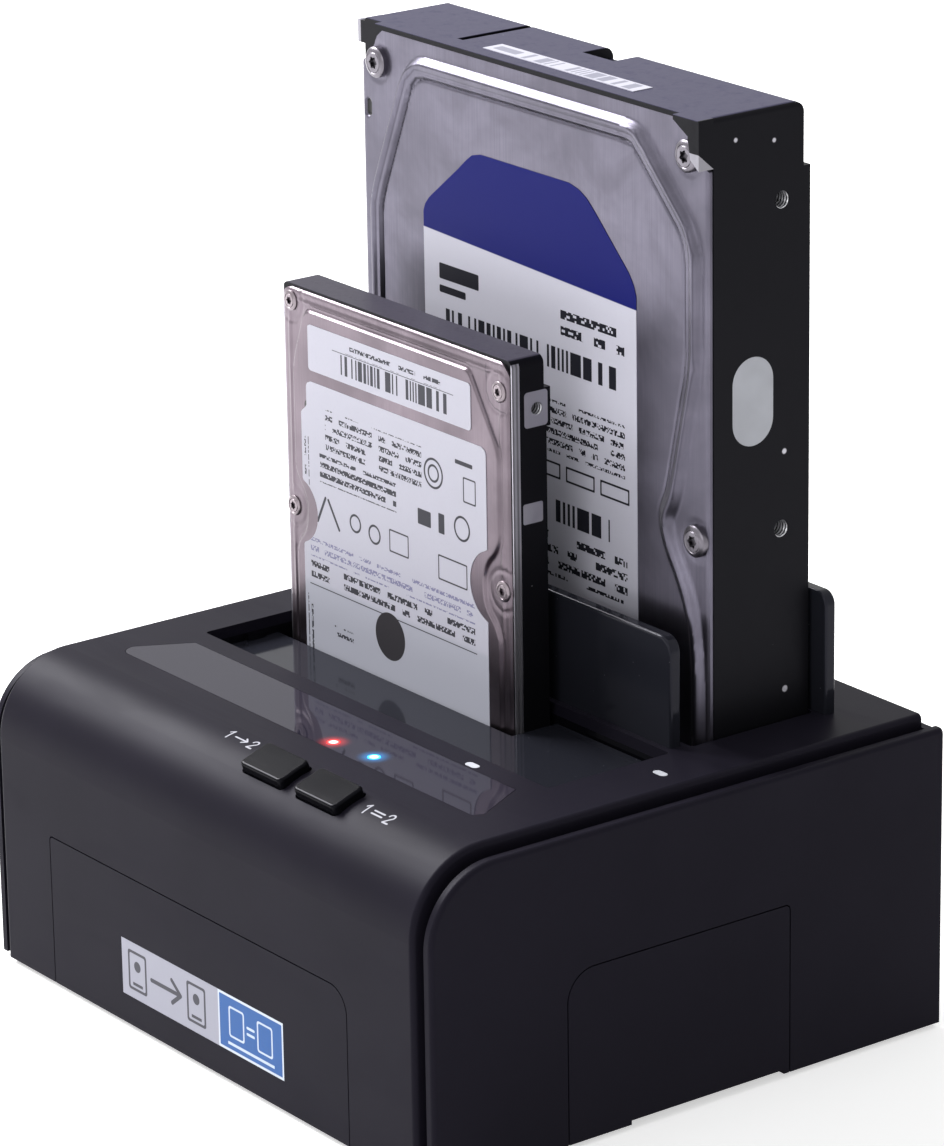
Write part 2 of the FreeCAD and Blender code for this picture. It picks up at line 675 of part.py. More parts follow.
def make_rocker_frame():
    """Power switch's frame: flange on the rear panel, box behind it and three blades."""
    frame = Body("rocker_frame", (rocker_x, 0, rocker_z))
    frame.block("y", [rect(-7.6, 7.6, -5.6, 5.6, 0.8)], size.depth, size.depth + 0.5)
    frame.block("y", [rect(-6.5, 6.5, -4.5, 4.5)], size.depth - 9.5, size.depth)
    frame.cut("y", [rect(-5.75, 5.75, -3.8, 3.8)], size.depth - 6.5, size.depth + 2)
    frame.cut("z", [circle(0, rocker_pivot, 0.95)], -4.2, 4.2)
    blades = [rect(x - 0.4, x + 0.4, -2.0, 2.0) for x in (-4.5, 0, 4.5)]
    frame.block("y", blades, size.depth - 14, size.depth - 9.5)


def make_rocker():
    """Paddle that leans to its off side at rest. Its face is a shallow vee."""
    paddle = Body("power_rocker", (rocker_x, rocker_pivot, rocker_z), (0, 0, 1), size.rocker_lean)
    reach = size.rocker_half
    edge = size.rocker_crown - reach * sine(size.rocker_lean) / cosine(size.rocker_lean)
    face = [(0.3 - reach, -1.7), (reach - 0.3, -1.7), (reach, edge), (0, size.rocker_crown),
            (-reach, edge)]
    paddle.block("z", [line_loop(face)], -3.55, 3.55)
    paddle.block("z", [circle(0, 0, 0.8)], -4.1, 4.1)


# ---------------------------------------------------------------- flaps
rear_pin_radius = Dim(0.5)
front_axis = (size.front_bay + size.flap_inset, flap_top - size.flap_thick)
rear_axis = (rear_bay + 0.1, flap_top - 1.1)
flap_left = bay_left + 0.35
flap_right = bay_right - 0.35


def make_front_flap():
    """Closed flap of the front bay: it fills the bay round the standing small drive."""
    flap = Body("front_bay_flap")
    ay, az = front_axis
    notch_x = small_mid + size.small_wide / 2 + 0.8
    notch_y = small_face - 0.7
    far = front_bay_end - 0.5
    loop = line_loop([(flap_left, ay), (flap_right, ay), (flap_right, far), (notch_x, far),
                      (notch_x, notch_y), (flap_left, notch_y)])
    flap.block("z", [loop], az, flap_top)
    flap.block("x", [circle(ay, az, size.flap_thick)], flap_left, flap_right)
    flap.cut("x", [circle(ay, az, size.pin_radius + 0.1)], flap_left - 1, flap_right + 1)


def make_rear_flap():
    """Flap of the rear bay, pushed down against the bay's front wall by the standing drive."""
    flap = Body("rear_bay_flap")
    ay, az = rear_axis
    reach = size.hdd_thick + size.bay_spare - 2.7
    flap.block("y", [rect(flap_left, flap_right, az - reach, az)], ay, ay + 1.0)
    flap.block("x", [circle(ay, az, 1.1)], flap_left, flap_right)
    flap.cut("x", [circle(ay, az, rear_pin_radius + 0.05)], flap_left - 1, flap_right + 1)


def make_pins():
    """Hinge pins of both flaps, held in the tray's end walls."""
    t = size.tray_wall
    for name, (y, z), radius in (("front_flap_pin", front_axis, size.pin_radius),
                                 ("rear_flap_pin", rear_axis, rear_pin_radius)):
        pin = rod(name + "_rod", (bay_left - t, y, z), "x", radius, size.bay_long + t * 2, home=True)
        finish(pin, name)


# ---------------------------------------------------------------- feet and screws
def make_feet():
    for i, (x, y) in enumerate(foot_places, start=1):
        pad = rod("foot_pad_%d" % i, (x, y, -size.lift), "z", 6.0, size.lift + 0.6)
        foot = doc.addObject("Part::Chamfer", "rubber_foot_%d" % i)
        foot.Base = pad
        doc.recompute()
        edges = [(n + 1, 0.4, 0.4) for n, e in enumerate(pad.Shape.Edges)
                 if level(e, "z", -size.lift)]
        foot.Edges = edges
        move(foot, (0, 0, 0))
        finish(foot, "rubber_foot_%d" % i)


def make_case_screws():
    """Screws that hold the base plate to the shell's bosses, with cross recesses."""
    for i, (x, y) in enumerate(boss_places, start=1):
        screw = Body("case_screw_%d" % i, (x, y, 0))
        screw.block("z", [circle(0, 0, 2.9)], 0.1, 1.1)
        screw.block("z", [circle(0, 0, 1.2)], 1.1, 10.0)
        screw.cut("z", [rect(-1.6, 1.6, -0.3, 0.3)], -1, 0.7)
        screw.cut("z", [rect(-0.3, 0.3, -1.6, 1.6)], -1, 0.7)


# ---------------------------------------------------------------- drives
def screw_set(name, at, places, head_low, head_high, head_r, shank_r, deep):
    """The cover screws of one drive: heads that face -y, each with a star recess."""
    parts = []
    for i, (x, z) in enumerate(places):
        tag = "%s_%d" % (name, i)
        head = rod(tag + "_head", (x, head_low, z), "y", head_r, head_high - head_low)
        shank = rod(tag + "_shank", (x, head_high, z), "y", shank_r, deep)
        star = rod(tag + "_recess", (x, head_low - 0.5, z), "y", head_r * 0.42, 0.85)
        parts.append(carved(tag, fused(tag + "_blank", [head, shank]), star))
    group = doc.addObject("Part::Compound", name)
    group.Links = parts
    move(group, at)
    finish(group, name)


HDD_AT = (hdd_mid, hdd_face, seat)
SMALL_AT = (small_mid, small_face, seat)
hdd_side = size.hdd_wide / 2
small_side = size.small_wide / 2
HDD_SCREWS = [(x * s, z) for x, z in ((hdd_side - 5.4, size.hdd_long - 7.4),
                                      (hdd_side - 3.4, size.hdd_long - 76.6),
                                      (hdd_side - 6.8, 11.5)) for s in (-1, 1)]
SMALL_SCREWS = [(3.0 - small_side, size.small_long - 3.2), (small_side - 3.1, size.small_long - 6.1)]
SMALL_SCREWS += [(x * s, z) for x, z in ((small_side - 2.6, size.small_long - 43.2),
                                         (small_side - 3.9, 9.0)) for s in (-1, 1)]
# depths in the 3.5 inch drive: its cover lies behind the full thickness that a bay allows for
hdd_field = size.hdd_inset
hdd_rim = hdd_field + 0.7
hdd_cover_back = hdd_rim + 1.0
hdd_corner = hdd_field - 1.6
HDD_HOLE_Z = (28.5, 70.1, size.hdd_long - 16.9)
SMALL_HOLE_Z = (14.0, size.small_long - 9.6)
disc_z = size.hdd_long - hdd_side - 0.8
chamber_end = size.hdd_thick - 5.1
port = upright_slot(13.2, disc_z - 0.6, 3.5, 4.6)


def make_hdd_base():
    """Cast base of the 3.5 inch drive: disc chamber, arm chamber, board seat, screw holes, port."""
    base = Body("hdd_base", HDD_AT)
    side, top, back = hdd_side, size.hdd_long, size.hdd_thick
    base.block("y", [rect(-side, side, 0, top, 1.0)], hdd_cover_back, back)
    base.block("y", [rect(5.6 - side, side - 7.0, top - 1.0, top)], hdd_field, hdd_cover_back)
    base.block("y", [rect(-side - 2.2, -side + 2, top - 5.0, top - 0.8)], hdd_cover_back, 10.0)
    raised = line_loop([(side, top), (side - 7.0, top), (side - 7.0, top - 1.0), (side - 6.8, top - 1.0),
                        (side - 3.0, top - 3.2), (side - 2.3, top - 7.2), (side, top - 8.9)])
    base.block("y", [raised], hdd_corner, hdd_cover_back)
    base.cut("y", [circle(0, disc_z, side - 2.4)], hdd_cover_back - 1, chamber_end)
    base.cut("y", [rect(7.8 - side, side - 7.8, 10.0, disc_z - 33.4, 3.0)],
             hdd_cover_back - 1, chamber_end)
    base.cut("y", [rect(4.8 - side, side - 4.8, 9.0, 92.0, 1.5)], back - 2.0, back + 1)
    base.cut("y", [rect(-side - 2, side + 1, top - 11.6, top + 1)], back - 1.5, back + 1)
    base.cut("x", [[(back - 1.5, top - 2.0, (back - 3.5, top - 2.0)), (back - 3.5, top, None),
                    (back - 3.5, top + 1, None), (back, top + 1, None), (back, top - 2.0, None)]],
             -side - 1, side + 1)
    base.cut("z", [rect(-25.6, -23.8, 6.9, back + 1)], top - 1.0, top + 1)
    base.cut("z", [rect(-2.3, 6.8, 17.5, back + 1)], top - 2.4, top + 1)
    base.cut("z", [rect(6.7, 28.0, back - 2.4, back + 1)], top - 2.4, top + 1)
    base.cut("z", [rect(-size.hdd_offset - 22.0, 22.0 - size.hdd_offset,
                        back - size.plug_in - 3.4, back - size.plug_in + 3.4)], -1, 9.0)
    holes = [circle(back - 6.35, z, 1.6) for z in HDD_HOLE_Z]
    base.cut("x", holes, side - 4.2, side + 1)
    base.cut("x", holes, -side - 1, -side + 4.2)
    base.cut("x", [port], side - 6, side + 1)
    heads = [circle(x, z, 1.3) for x, z in HDD_SCREWS]
    base.cut("y", heads, hdd_cover_back - 1, hdd_cover_back + 3.2)


def make_hdd_cover():
    """Pressed steel cover of the 3.5 inch drive, with a raised field inside its rim."""
    cover = Body("hdd_cover", HDD_AT)
    top = size.hdd_long
    edge = hdd_side - 0.2
    rim = line_loop([(-edge, 8.0), (edge, 8.0), (edge, top - 9.5), (edge - 2.6, top - 7.6),
                     (edge - 3.4, top - 3.6), (edge - 7.2, top - 1.4), (6.0 - edge, top - 1.4),
                     (3.0 - edge, top - 6.0), (-edge, top - 8.0)])
    cover.block("y", [rim], hdd_rim, hdd_cover_back)
    wide, narrow = hdd_side - 1.6, hdd_side - 10.6
    left = 3.2 - hdd_side
    field = line_loop([(6.6 + left, 15.0), (narrow + 1.6, 15.0), (wide, 24.0), (wide, disc_z - 46.0),
                       (wide - 1.6, disc_z - 38.6), (narrow, disc_z - 25.0), (narrow, disc_z - 20.6),
                       (narrow + 3.2, disc_z - 15.0), (wide - 0.9, disc_z + 7.0), (wide - 0.9, top - 23.6),
                       (wide - 2.8, top - 19.2), (hdd_side - 18.4, top - 4.4), (17.8 - hdd_side, top - 4.4),
                       (13.4 - hdd_side, top - 8.2), (left, top - 30.0), (left, disc_z - 15.4),
                       (4.0 + left, disc_z - 19.4), (4.0 + left, disc_z - 28.4),
                       (left, disc_z - 33.4), (left, 24.0)])
    cover.block("y", [field], hdd_field, hdd_rim)
    cover.cut("y", [circle(x, z, 1.5) for x, z in HDD_SCREWS], -1, hdd_cover_back + 1)
    cover.cut("y", [upright_slot(2.0 - hdd_side, top - 16.6, 0.8, 0.9)], -1, hdd_cover_back + 1)


def make_hdd_inside():
    """Disc, spindle, board and port seal of the 3.5 inch drive."""
    disc = rod("hdd_disc", (0, 8.0, disc_z), "y", hdd_side - 3.3, 1.3)
    eye = rod("hdd_disc_eye", (0, 7.0, disc_z), "y", 12.55, 3.3)
    platter = carved("hdd_platter", disc, eye)
    move(platter, HDD_AT)
    finish(platter, "hdd_platter")
    hub = rod("hdd_hub", (0, 6.2, disc_z), "y", 12.5, chamber_end - 6.2)
    flange = rod("hdd_hub_flange", (0, 9.3, disc_z), "y", 15.0, 2.2)
    spindle = fused("hdd_spindle", [hub, flange])
    move(spindle, HDD_AT)
    finish(spindle, "hdd_spindle")
    board = Body("hdd_board", HDD_AT)
    back = size.hdd_thick
    board.block("y", [rect(5.1 - hdd_side, hdd_side - 5.1, 9.3, 91.7, 1.2)], back - 2.0, back - 0.4)
    seal = Body("hdd_port_seal", HDD_AT)
    seal.block("x", [port], hdd_side - 1.2, hdd_side)


def make_plug(name, at, back, mid):
    """A drive's own connector: a shell with a cavity and two tongues, open at the lower end."""
    plug = Body(name, at)
    y = back - size.plug_in
    plug.block("z", [rect(mid - 21.9, mid + 21.9, y - 3.3, y + 3.3)], 0.1, 8.9)
    plug.cut("z", [rect(mid - 19.8, mid + 19.8, y - 2.4, y + 2.4)], -1, 5.8)
    plug.block("z", [rect(mid - 17.9, mid - 7.7, y - 0.5, y + 0.5),
                     rect(mid - 4.3, mid + 17.3, y - 0.5, y + 0.5)], 0.4, 5.8)


def make_hdd_labels():
    """Face label with two cut corners, and the strip on the top end."""
    label = Body("hdd_label", HDD_AT)
    left, right, top = 19.6 - hdd_side, hdd_side - 19.4, size.hdd_long
    outline = line_loop([(left, 34.0), (right, 34.0), (right, top - 36.3), (right - 19.2, top - 19.6),
                         (left + 16.7, top - 19.6), (left, top - 34.2)])
    label.block("y", [outline], hdd_field - 0.12, hdd_field)
    strip = Body("hdd_end_label", HDD_AT)
    strip.block("z", [rect(-16.4, 27.0, 5.8, 10.2)], top, top + 0.12)


def make_small_base():
    """Cast base of the 2.5 inch drive."""
    base = Body("small_base", SMALL_AT)
    side, top, back = small_side, size.small_long, size.small_thick
    base.block("y", [rect(-side, side, 0, top, 1.5)], 1.0, back)
    base.cut("y", [circle(0, top - side - 0.7, side - 2.1)], 0, back - 3.3)
    base.cut("y", [rect(6.9 - side, side - 6.9, 12.0, 42.0, 2.0)], 0, back - 3.3)
    base.cut("y", [rect(3.9 - side, side - 3.9, 9.2, 58.0, 1.0)], back - 1.4, back + 1)
    base.cut("y", [rect(-side - 1, side + 1, top - 6.0, top + 1)], back - 1.4, back + 1)
    base.cut("y", [rect(x - 1.6, x + 1.6, 18.0, top - 13.2) for x in (-side - 0.4, side + 0.4)],
             back - 0.9, back + 1)
    base.cut("z", [rect(-size.small_offset - 22.1, 22.1 - size.small_offset,
                        back - size.plug_in - 3.4, back - size.plug_in + 3.4)], -1, 9.0)
    holes = [circle(back - 3.0, z, 1.25) for z in SMALL_HOLE_Z]
    base.cut("x", holes, side - 3.0, side + 1)
    base.cut("x", holes, -side - 1, -side + 3.0)
    base.cut("y", [circle(x, z, 0.85) for x, z in SMALL_SCREWS], 0, 3.4)


def make_small_cover():
    """Steel cover of the 2.5 inch drive."""
    cover = Body("small_cover", SMALL_AT)
    edge = small_side - 0.5
    cover.block("y", [rect(-edge, edge, 5.0, size.small_long - 0.6, 2.5)], 0, 1.0)
    cover.soften(0.5, lambda e: level(e, "y", 0))
    cover.cut("y", [circle(x, z, 2.3) for x, z in SMALL_SCREWS], -1, 0.6)
    cover.cut("y", [circle(x, z, 0.95) for x, z in SMALL_SCREWS], -1, 2)


def make_small_rest():
    """Board and labels of the 2.5 inch drive."""
    board = Body("small_board", SMALL_AT)
    side, top, back = small_side, size.small_long, size.small_thick
    board.block("y", [rect(4.1 - side, side - 4.1, 9.4, 57.8, 0.8)], back - 1.4, back - 0.4)
    upper = Body("small_top_label", SMALL_AT)
    upper.block("y", [rect(9.0 - side, side - 10.8, top - 15.1, top - 6.3, 0.5)], -0.1, 0)
    lower = Body("small_main_label", SMALL_AT)
    lower.block("y", [rect(5.7 - side, side - 7.1, 10.0, top - 17.3, 1.0)], -0.1, 0)


def make_everything():
    make_upper_shell()
    for name, s in (("right", 1), ("left", -1)):
        make_side_panel(name + "_side_panel", s)
        make_side_cover(name + "_blank_cover", s)
    make_rear_panel()
    make_base_plate()
    make_front_cover()
    make_label()
    make_tray()
    make_guard("front_guard_wall", bay_left + 1.4, bay_right - 1.4, front_bay_end + 1.3,
               size.front_guard_rise, 3.0)
    make_guard("rear_guard_wall", bay_left - 2.7, bay_right + 2.7, rear_bay_end + 0.4,
               size.rear_guard_rise, 2.5)
    make_window()
    make_led("red_led", red_spot)
    make_led("blue_led", blue_spot)
    make_indicator("front_bay_indicator", front_spot)
    make_indicator("rear_bay_indicator", rear_spot)
    for name, x in button_places.items():
        make_button(name, x)
        make_tact(name, x)
    make_switch_board()
    make_main_board()
    make_chip()
    make_socket("front_drive_socket", front_plug_y)
    make_socket("rear_drive_socket", rear_plug_y)
    make_usb()
    make_jack()
    make_rocker_frame()
    make_rocker()
    make_front_flap()
    make_rear_flap()
    make_pins()
    make_feet()
    make_case_screws()
    make_hdd_base()
    make_hdd_cover()
    screw_set("hdd_cover_screws", HDD_AT, HDD_SCREWS, hdd_rim - 1.3, hdd_rim, 2.9, 1.25, 3.9)
    make_hdd_inside()
    make_plug("hdd_plug", HDD_AT, size.hdd_thick, -size.hdd_offset)
    make_hdd_labels()
    make_small_base()
    make_small_cover()
    screw_set("small_cover_screws", SMALL_AT, SMALL_SCREWS, 0.05, 0.6, 2.2, 0.8, 2.4)
    make_small_rest()
    make_plug("small_plug", SMALL_AT, size.small_thick, -size.small_offset)


def check_all():
    """Stops on any failed object, empty cut or unsound piece."""
    doc.recompute()
    for thing in doc.Objects:
        if "Invalid" in thing.State or "Error" in thing.State:
            raise RuntimeError("failed object " + thing.Name)
        if thing.TypeId == "PartDesign::Pocket":
            before = thing.BaseFeature.Shape.Volume
            if before - thing.Shape.Volume < 1e-3:
                raise RuntimeError("a cut removes nothing: " + thing.Name)
    for label, thing in PIECES:
        shape = thing.Shape
        if shape.isNull() or not shape.isValid() or shape.Volume <= 0:
            raise RuntimeError("unsound piece " + label)


def write_all():
    os.makedirs("parts", exist_ok=True)
    for label, thing in PIECES:
        thing.Shape.exportStep("parts/" + label + ".step")


make_everything()
check_all()
write_all()
print("pieces", len(PIECES))
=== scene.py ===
import math

import bmesh
import bpy
import numpy as np
from mathutils import Matrix, Vector


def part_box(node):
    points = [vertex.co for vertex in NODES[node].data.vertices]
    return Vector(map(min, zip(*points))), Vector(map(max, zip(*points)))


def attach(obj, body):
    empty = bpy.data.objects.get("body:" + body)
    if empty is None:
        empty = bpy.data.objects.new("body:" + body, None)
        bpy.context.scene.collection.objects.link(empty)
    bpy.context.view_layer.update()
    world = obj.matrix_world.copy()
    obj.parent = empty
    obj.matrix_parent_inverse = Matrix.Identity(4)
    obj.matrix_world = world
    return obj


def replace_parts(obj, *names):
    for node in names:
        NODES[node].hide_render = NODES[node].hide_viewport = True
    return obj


bl_info = {
    "name": "Two-bay drive duplicator",
    "version": (1, 0, 0),
    "blender": (4, 5, 0),
    "location": "3D View > Sidebar > Duplicator",
    "description": "Dresses a drive duplicator and the two drives that stand in it",
    "category": "Object",
}

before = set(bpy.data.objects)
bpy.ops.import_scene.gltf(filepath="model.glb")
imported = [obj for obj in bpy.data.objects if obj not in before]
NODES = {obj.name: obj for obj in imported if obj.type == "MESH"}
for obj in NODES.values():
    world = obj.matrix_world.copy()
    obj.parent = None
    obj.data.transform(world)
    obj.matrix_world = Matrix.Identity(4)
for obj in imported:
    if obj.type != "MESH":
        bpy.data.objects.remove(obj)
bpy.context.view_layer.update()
MM = 0.001


# ---------------------------------------------------------------- places read from the frame
def middle(node):
    """Centre of a node's box, in metres."""
    low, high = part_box(node)
    return (low + high) / 2


class Place:
    """One drive: its body, and its origin in metres, the middle of its cover's outer face at the
    connector end."""

    def __init__(self, body, cover, base):
        self.body = body
        low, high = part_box(base)
        self.x = middle(cover).x
        self.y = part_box(cover)[0].y
        self.z = low.z
        self.long = (high.z - low.z) / MM
        self.half = (high.x - self.x) / MM

    def point(self, x, y, z):
        """Metres from the drive's own millimetres: x from its middle, y inwards, z up."""
        return self.x + x * MM, self.y + y * MM, self.z + z * MM


BIG = Place("hdd", "hdd_cover", "hdd_base")
SMALL = Place("small_drive", "small_cover", "small_base")


# ---------------------------------------------------------------- sizes and colours
def colour(red, green, blue):
    """Linear colour from the 0-255 numbers of a swatch."""
    def linear(value):
        value = value / 255
        return value / 12.92 if value <= 0.04045 else ((value + 0.055) / 1.055) ** 2.4
    return linear(red), linear(green), linear(blue), 1.0


def colour_prop(name, description, swatch):
    return bpy.props.FloatVectorProperty(name=name, description=description, default=colour(*swatch),
                                         size=4, min=0, max=1, subtype="COLOR")


def length_prop(name, description, value):
    return bpy.props.FloatProperty(name=name, description=description, default=value * MM,
                                   min=0, unit="LENGTH", subtype="DISTANCE", precision=5)


class DriveSizes(bpy.types.PropertyGroup):
    bead: length_prop("Bead height", "How far the big cover's bead stands above its rim", 1.4)
    bead_width: length_prop("Bead width", "Width of the big cover's bead", 2.8)
    plateau: length_prop("Plateau height", "How far the small cover's middle stands above its rim", 0.8)
    film: length_prop("Label thickness", "Thickness of the printed labels", 0.1)
    grid: length_prop("Grid pitch", "Distance between the points of the pressed covers", 0.55)


class Colours(bpy.types.PropertyGroup):
    shell: colour_prop("Shell", "Satin plastic of the housing", (29, 27, 36))
    gloss: colour_prop("Gloss black", "Polished plastic of the bays, walls and keys", (13, 13, 17))
    walls: colour_prop("Walls", "Polished plastic of the guard walls and the front flap", (36, 37, 44))
    strip: colour_prop("Strip", "Polished strip in the deck", (38, 36, 48))
    casting: colour_prop("Casting", "Black coat of the drives' castings", (16, 16, 19))
    # Casting end is a painted sheen: the black casting's upward-facing top end made lighter where light from
    # above falls
    casting_top_sheen: colour_prop("Casting end", "Satin top end of the 3.5 inch casting", (66, 64, 86))
    big_steel: colour_prop("Big cover", "Steel of the 3.5 inch cover", (103, 100, 113))
    small_steel: colour_prop("Small cover", "Steel of the 2.5 inch cover", (114, 104, 112))
    paper: colour_prop("Label", "Label film", (206, 205, 218))
    header: colour_prop("Header", "Blue field of the big label", (12, 19, 102))
    sticker_grey: colour_prop("Sticker grey", "Light field of the front sticker", (168, 168, 182))
    sticker_blue: colour_prop("Sticker blue", "Blue field of the front sticker", (46, 96, 164))


def length(name):
    """One length of the panel, in millimetres."""
    return getattr(bpy.context.scene.duplicator_sizes, name) / MM


def paint(name):
    """One colour of the panel."""
    return getattr(bpy.context.scene.duplicator_colours, name)


def scaled(tint, factor):
    """A colour made lighter or darker."""
    return [min(1.0, part * factor) for part in tint[:3]] + [1]


# ---------------------------------------------------------------- shader arithmetic
def operation(name):
    """A method that feeds its value and its arguments to one maths node."""
    def method(self, *others):
        return self.tree.node("ShaderNodeMath", {"operation": name}, [self, *others])
    return method


class Value:
    """A socket of a node tree that takes part in ordinary arithmetic."""

    def __init__(self, tree, socket):
        self.tree = tree
        self.socket = socket

    __add__ = __radd__ = operation("ADD")
    __sub__ = operation("SUBTRACT")
    __mul__ = __rmul__ = operation("MULTIPLY")
    __truediv__ = operation("DIVIDE")
    __pow__ = operation("POWER")
    __abs__ = operation("ABSOLUTE")
    most = operation("MAXIMUM")
    least = operation("MINIMUM")
    floor = operation("FLOOR")
    root = operation("SQRT")
    wave = operation("SINE")
    above = operation("GREATER_THAN")
    below = operation("LESS_THAN")

    def __rsub__(self, other):
        return self.tree.node("ShaderNodeMath", {"operation": "SUBTRACT"}, [other, self])

    def fade(self, low, high):
        """0 at low, 1 at high, smooth between them; low may be the larger."""
        return self.tree.node("ShaderNodeMapRange", {"interpolation_type": "SMOOTHSTEP"},
                              {"Value": self, "From Min": low, "From Max": high,
                               "To Min": 0.0, "To Max": 1.0})


def span(across, along):
    """Length of a step: the root of across squared plus along squared."""
    return (across * across + along * along).root()


def either(*masks):
    """The largest of several masks."""
    best = masks[0]
    for mask in masks[1:]:
        best = best.most(mask)
    return best


class Tree:
    """A node tree whose nodes are added in one line each."""

    def __init__(self, tree):
        self.tree = tree

    def node(self, kind, settings, inputs, output=0):
        """Adds a node: its settings first, then the values or links of its sockets."""
        made = self.tree.nodes.new(kind)
        for key, value in settings.items():
            setattr(made, key, value)
        self.feed(made, inputs.items() if isinstance(inputs, dict) else enumerate(inputs))
        return made if output is None else Value(self, made.outputs[output])

    def feed(self, made, inputs):
        """Gives each named or numbered socket of a node a value or a link."""
        for key, value in inputs:
            value = value.socket if isinstance(value, Value) else value
            if isinstance(value, bpy.types.NodeSocket):
                self.tree.links.new(value, made.inputs[key])
            else:
                made.inputs[key].default_value = value


class Shade(Tree):
    """One material: object coordinates in millimetres, a Principled shader and its helpers."""

    def __init__(self, name, centre=(0, 0, 0)):
        self.material = bpy.data.materials.new(name)
        self.material.use_nodes = True
        super().__init__(self.material.node_tree)
        self.shader = self.tree.nodes["Principled BSDF"]
        coords = self.tree.nodes.new("ShaderNodeTexCoord")
        shift = self.node("ShaderNodeVectorMath", {"operation": "SUBTRACT"},
                          [coords.outputs["Object"], tuple(centre)])
        self.place = self.node("ShaderNodeVectorMath", {"operation": "SCALE"},
                               {"Vector": shift, "Scale": 1 / MM})
        parts = self.node("ShaderNodeSeparateXYZ", {}, [self.place], output=None)
        self.x, self.y, self.z = [Value(self, socket) for socket in parts.outputs]
        self.face = Drawing(self, self.x, self.z)
        self.side = Drawing(self, self.y, self.z)
        self.top = Drawing(self, self.x, self.y)

    def set(self, **sockets):
        """Feeds the Principled shader; words are its sockets' names with _ for a space."""
        self.feed(self.shader, [(key.replace("_", " "), value) for key, value in sockets.items()])

    def mix(self, share, first, second):
        """Colour that goes from first to second."""
        return self.node("ShaderNodeMix", {"data_type": "RGBA"}, {0: share, 6: first, 7: second}, output=2)

    def shades(self, share, tint, factor):
        """Colour that goes from a tint to the same tint made lighter or darker."""
        return self.mix(share, tint, scaled(tint, factor))

    def noise(self, scale, detail=2.0, rough=0.5, stretch=(1, 1, 1), warp=0.0):
        """Smooth noise with cells of 1/scale millimetres, stretched by a factor along each axis."""
        where = self.node("ShaderNodeVectorMath", {"operation": "MULTIPLY"}, [self.place, stretch])
        return self.node("ShaderNodeTexNoise", {},
                         {"Vector": where, "Scale": scale, "Detail": detail, "Roughness": rough,
                          "Distortion": warp})

    def speck(self, scale):
        """Distance to the nearest of many scattered points."""
        return self.node("ShaderNodeTexVoronoi", {"feature": "F1"}, {"Vector": self.place, "Scale": scale})

    def chance(self, *values):
        """One random number for each whole number, or pair of whole numbers."""
        if len(values) == 1:
            return self.node("ShaderNodeTexWhiteNoise", {"noise_dimensions": "1D"}, {"W": values[0]})
        pair = self.node("ShaderNodeCombineXYZ", {}, list(values))
        return self.node("ShaderNodeTexWhiteNoise", {"noise_dimensions": "2D"}, {"Vector": pair})

    def bump(self, *heights):
        """Lays bumps given as (height, strength, distance in mm) one over the other and gives the
        finished material."""
        normal = None
        for height, strength, distance in heights:
            inputs = {"Strength": strength, "Distance": distance * MM, "Height": height}
            if normal is not None:
                inputs["Normal"] = normal
            normal = self.node("ShaderNodeBump", {}, inputs)
        self.set(Normal=normal)
        return self.material


class Drawing:
    """Shapes drawn in one plane of a material: each gives 1 inside and 0 outside, with a soft edge."""

    def __init__(self, shade, a, b):
        self.shade, self.a, self.b = shade, a, b

    def off(self, point):
        """Distances from a point along both axes."""
        return self.a - point[0], self.b - point[1]

    def patch(self, centre, half, corner=0.0, soft=0.05):
        """Rounded rectangle round a centre."""
        corner = max(corner, soft)
        past = [(abs(off) - (reach - corner)).most(0) for off, reach in zip(self.off(centre), half)]
        return (span(*past) - corner).fade(soft, -soft)

    def frame(self, centre, half, line, corner=0.3, inner=0.2):
        """Outline of a rounded rectangle, a line wide."""
        return (self.patch(centre, half, corner)
                - self.patch(centre, (half[0] - line, half[1] - line), inner))

    def disc(self, centre, radius, soft=0.05):
        """Filled circle."""
        return (span(*self.off(centre)) - radius).fade(soft, -soft)

    def ring(self, centre, radius, half_width, soft=0.05):
        """Circle drawn as a line."""
        return (abs(span(*self.off(centre)) - radius) - half_width).fade(soft, -soft)

    def stroke(self, start, end, half_width, soft=0.04):
        """Straight line with round ends between two points."""
        run = (end[0] - start[0], end[1] - start[1])
        across, along = self.off(start)
        share = ((across * run[0] + along * run[1]) / (run[0] ** 2 + run[1] ** 2)).most(0).least(1)
        return (span(across - share * run[0], along - share * run[1]) - half_width).fade(soft, -soft)

    def path(self, points, half_width, soft=0.04):
        """Chain of straight lines."""
        return either(*[self.stroke(start, end, half_width, soft) for start, end in zip(points, points[1:])])

    def bars(self, centre, half, pitch, share=0.5):
        """Upright bars of uneven width inside a rectangle."""
        return self.shade.chance((self.a / pitch).floor()).below(share) * self.patch(centre, half)

    def writing(self, centre, half, line, letter, share=0.62):
        """Rows of small dashes that look like print too small to read."""
        row = (self.b / line).floor()
        height = self.b / line - row
        inked = height.above(0.25) * height.below(0.8)
        fine = self.shade.chance((self.a / (letter * 0.34)).floor(), (self.b / (line * 0.16)).floor())
        gap = self.shade.chance((self.a / (letter * 2.3)).floor(), row).above(0.2)
        return inked * fine.below(share) * gap * self.patch(centre, half)


def dress(material, *nodes):
    """Gives CAD nodes a material."""
    for node in nodes:
        slots = NODES[node].data.materials
        slots.clear()
        slots.append(material)


# ---------------------------------------------------------------- finishes
VIOLET = (0.84, 0.82, 1.0, 1.0)


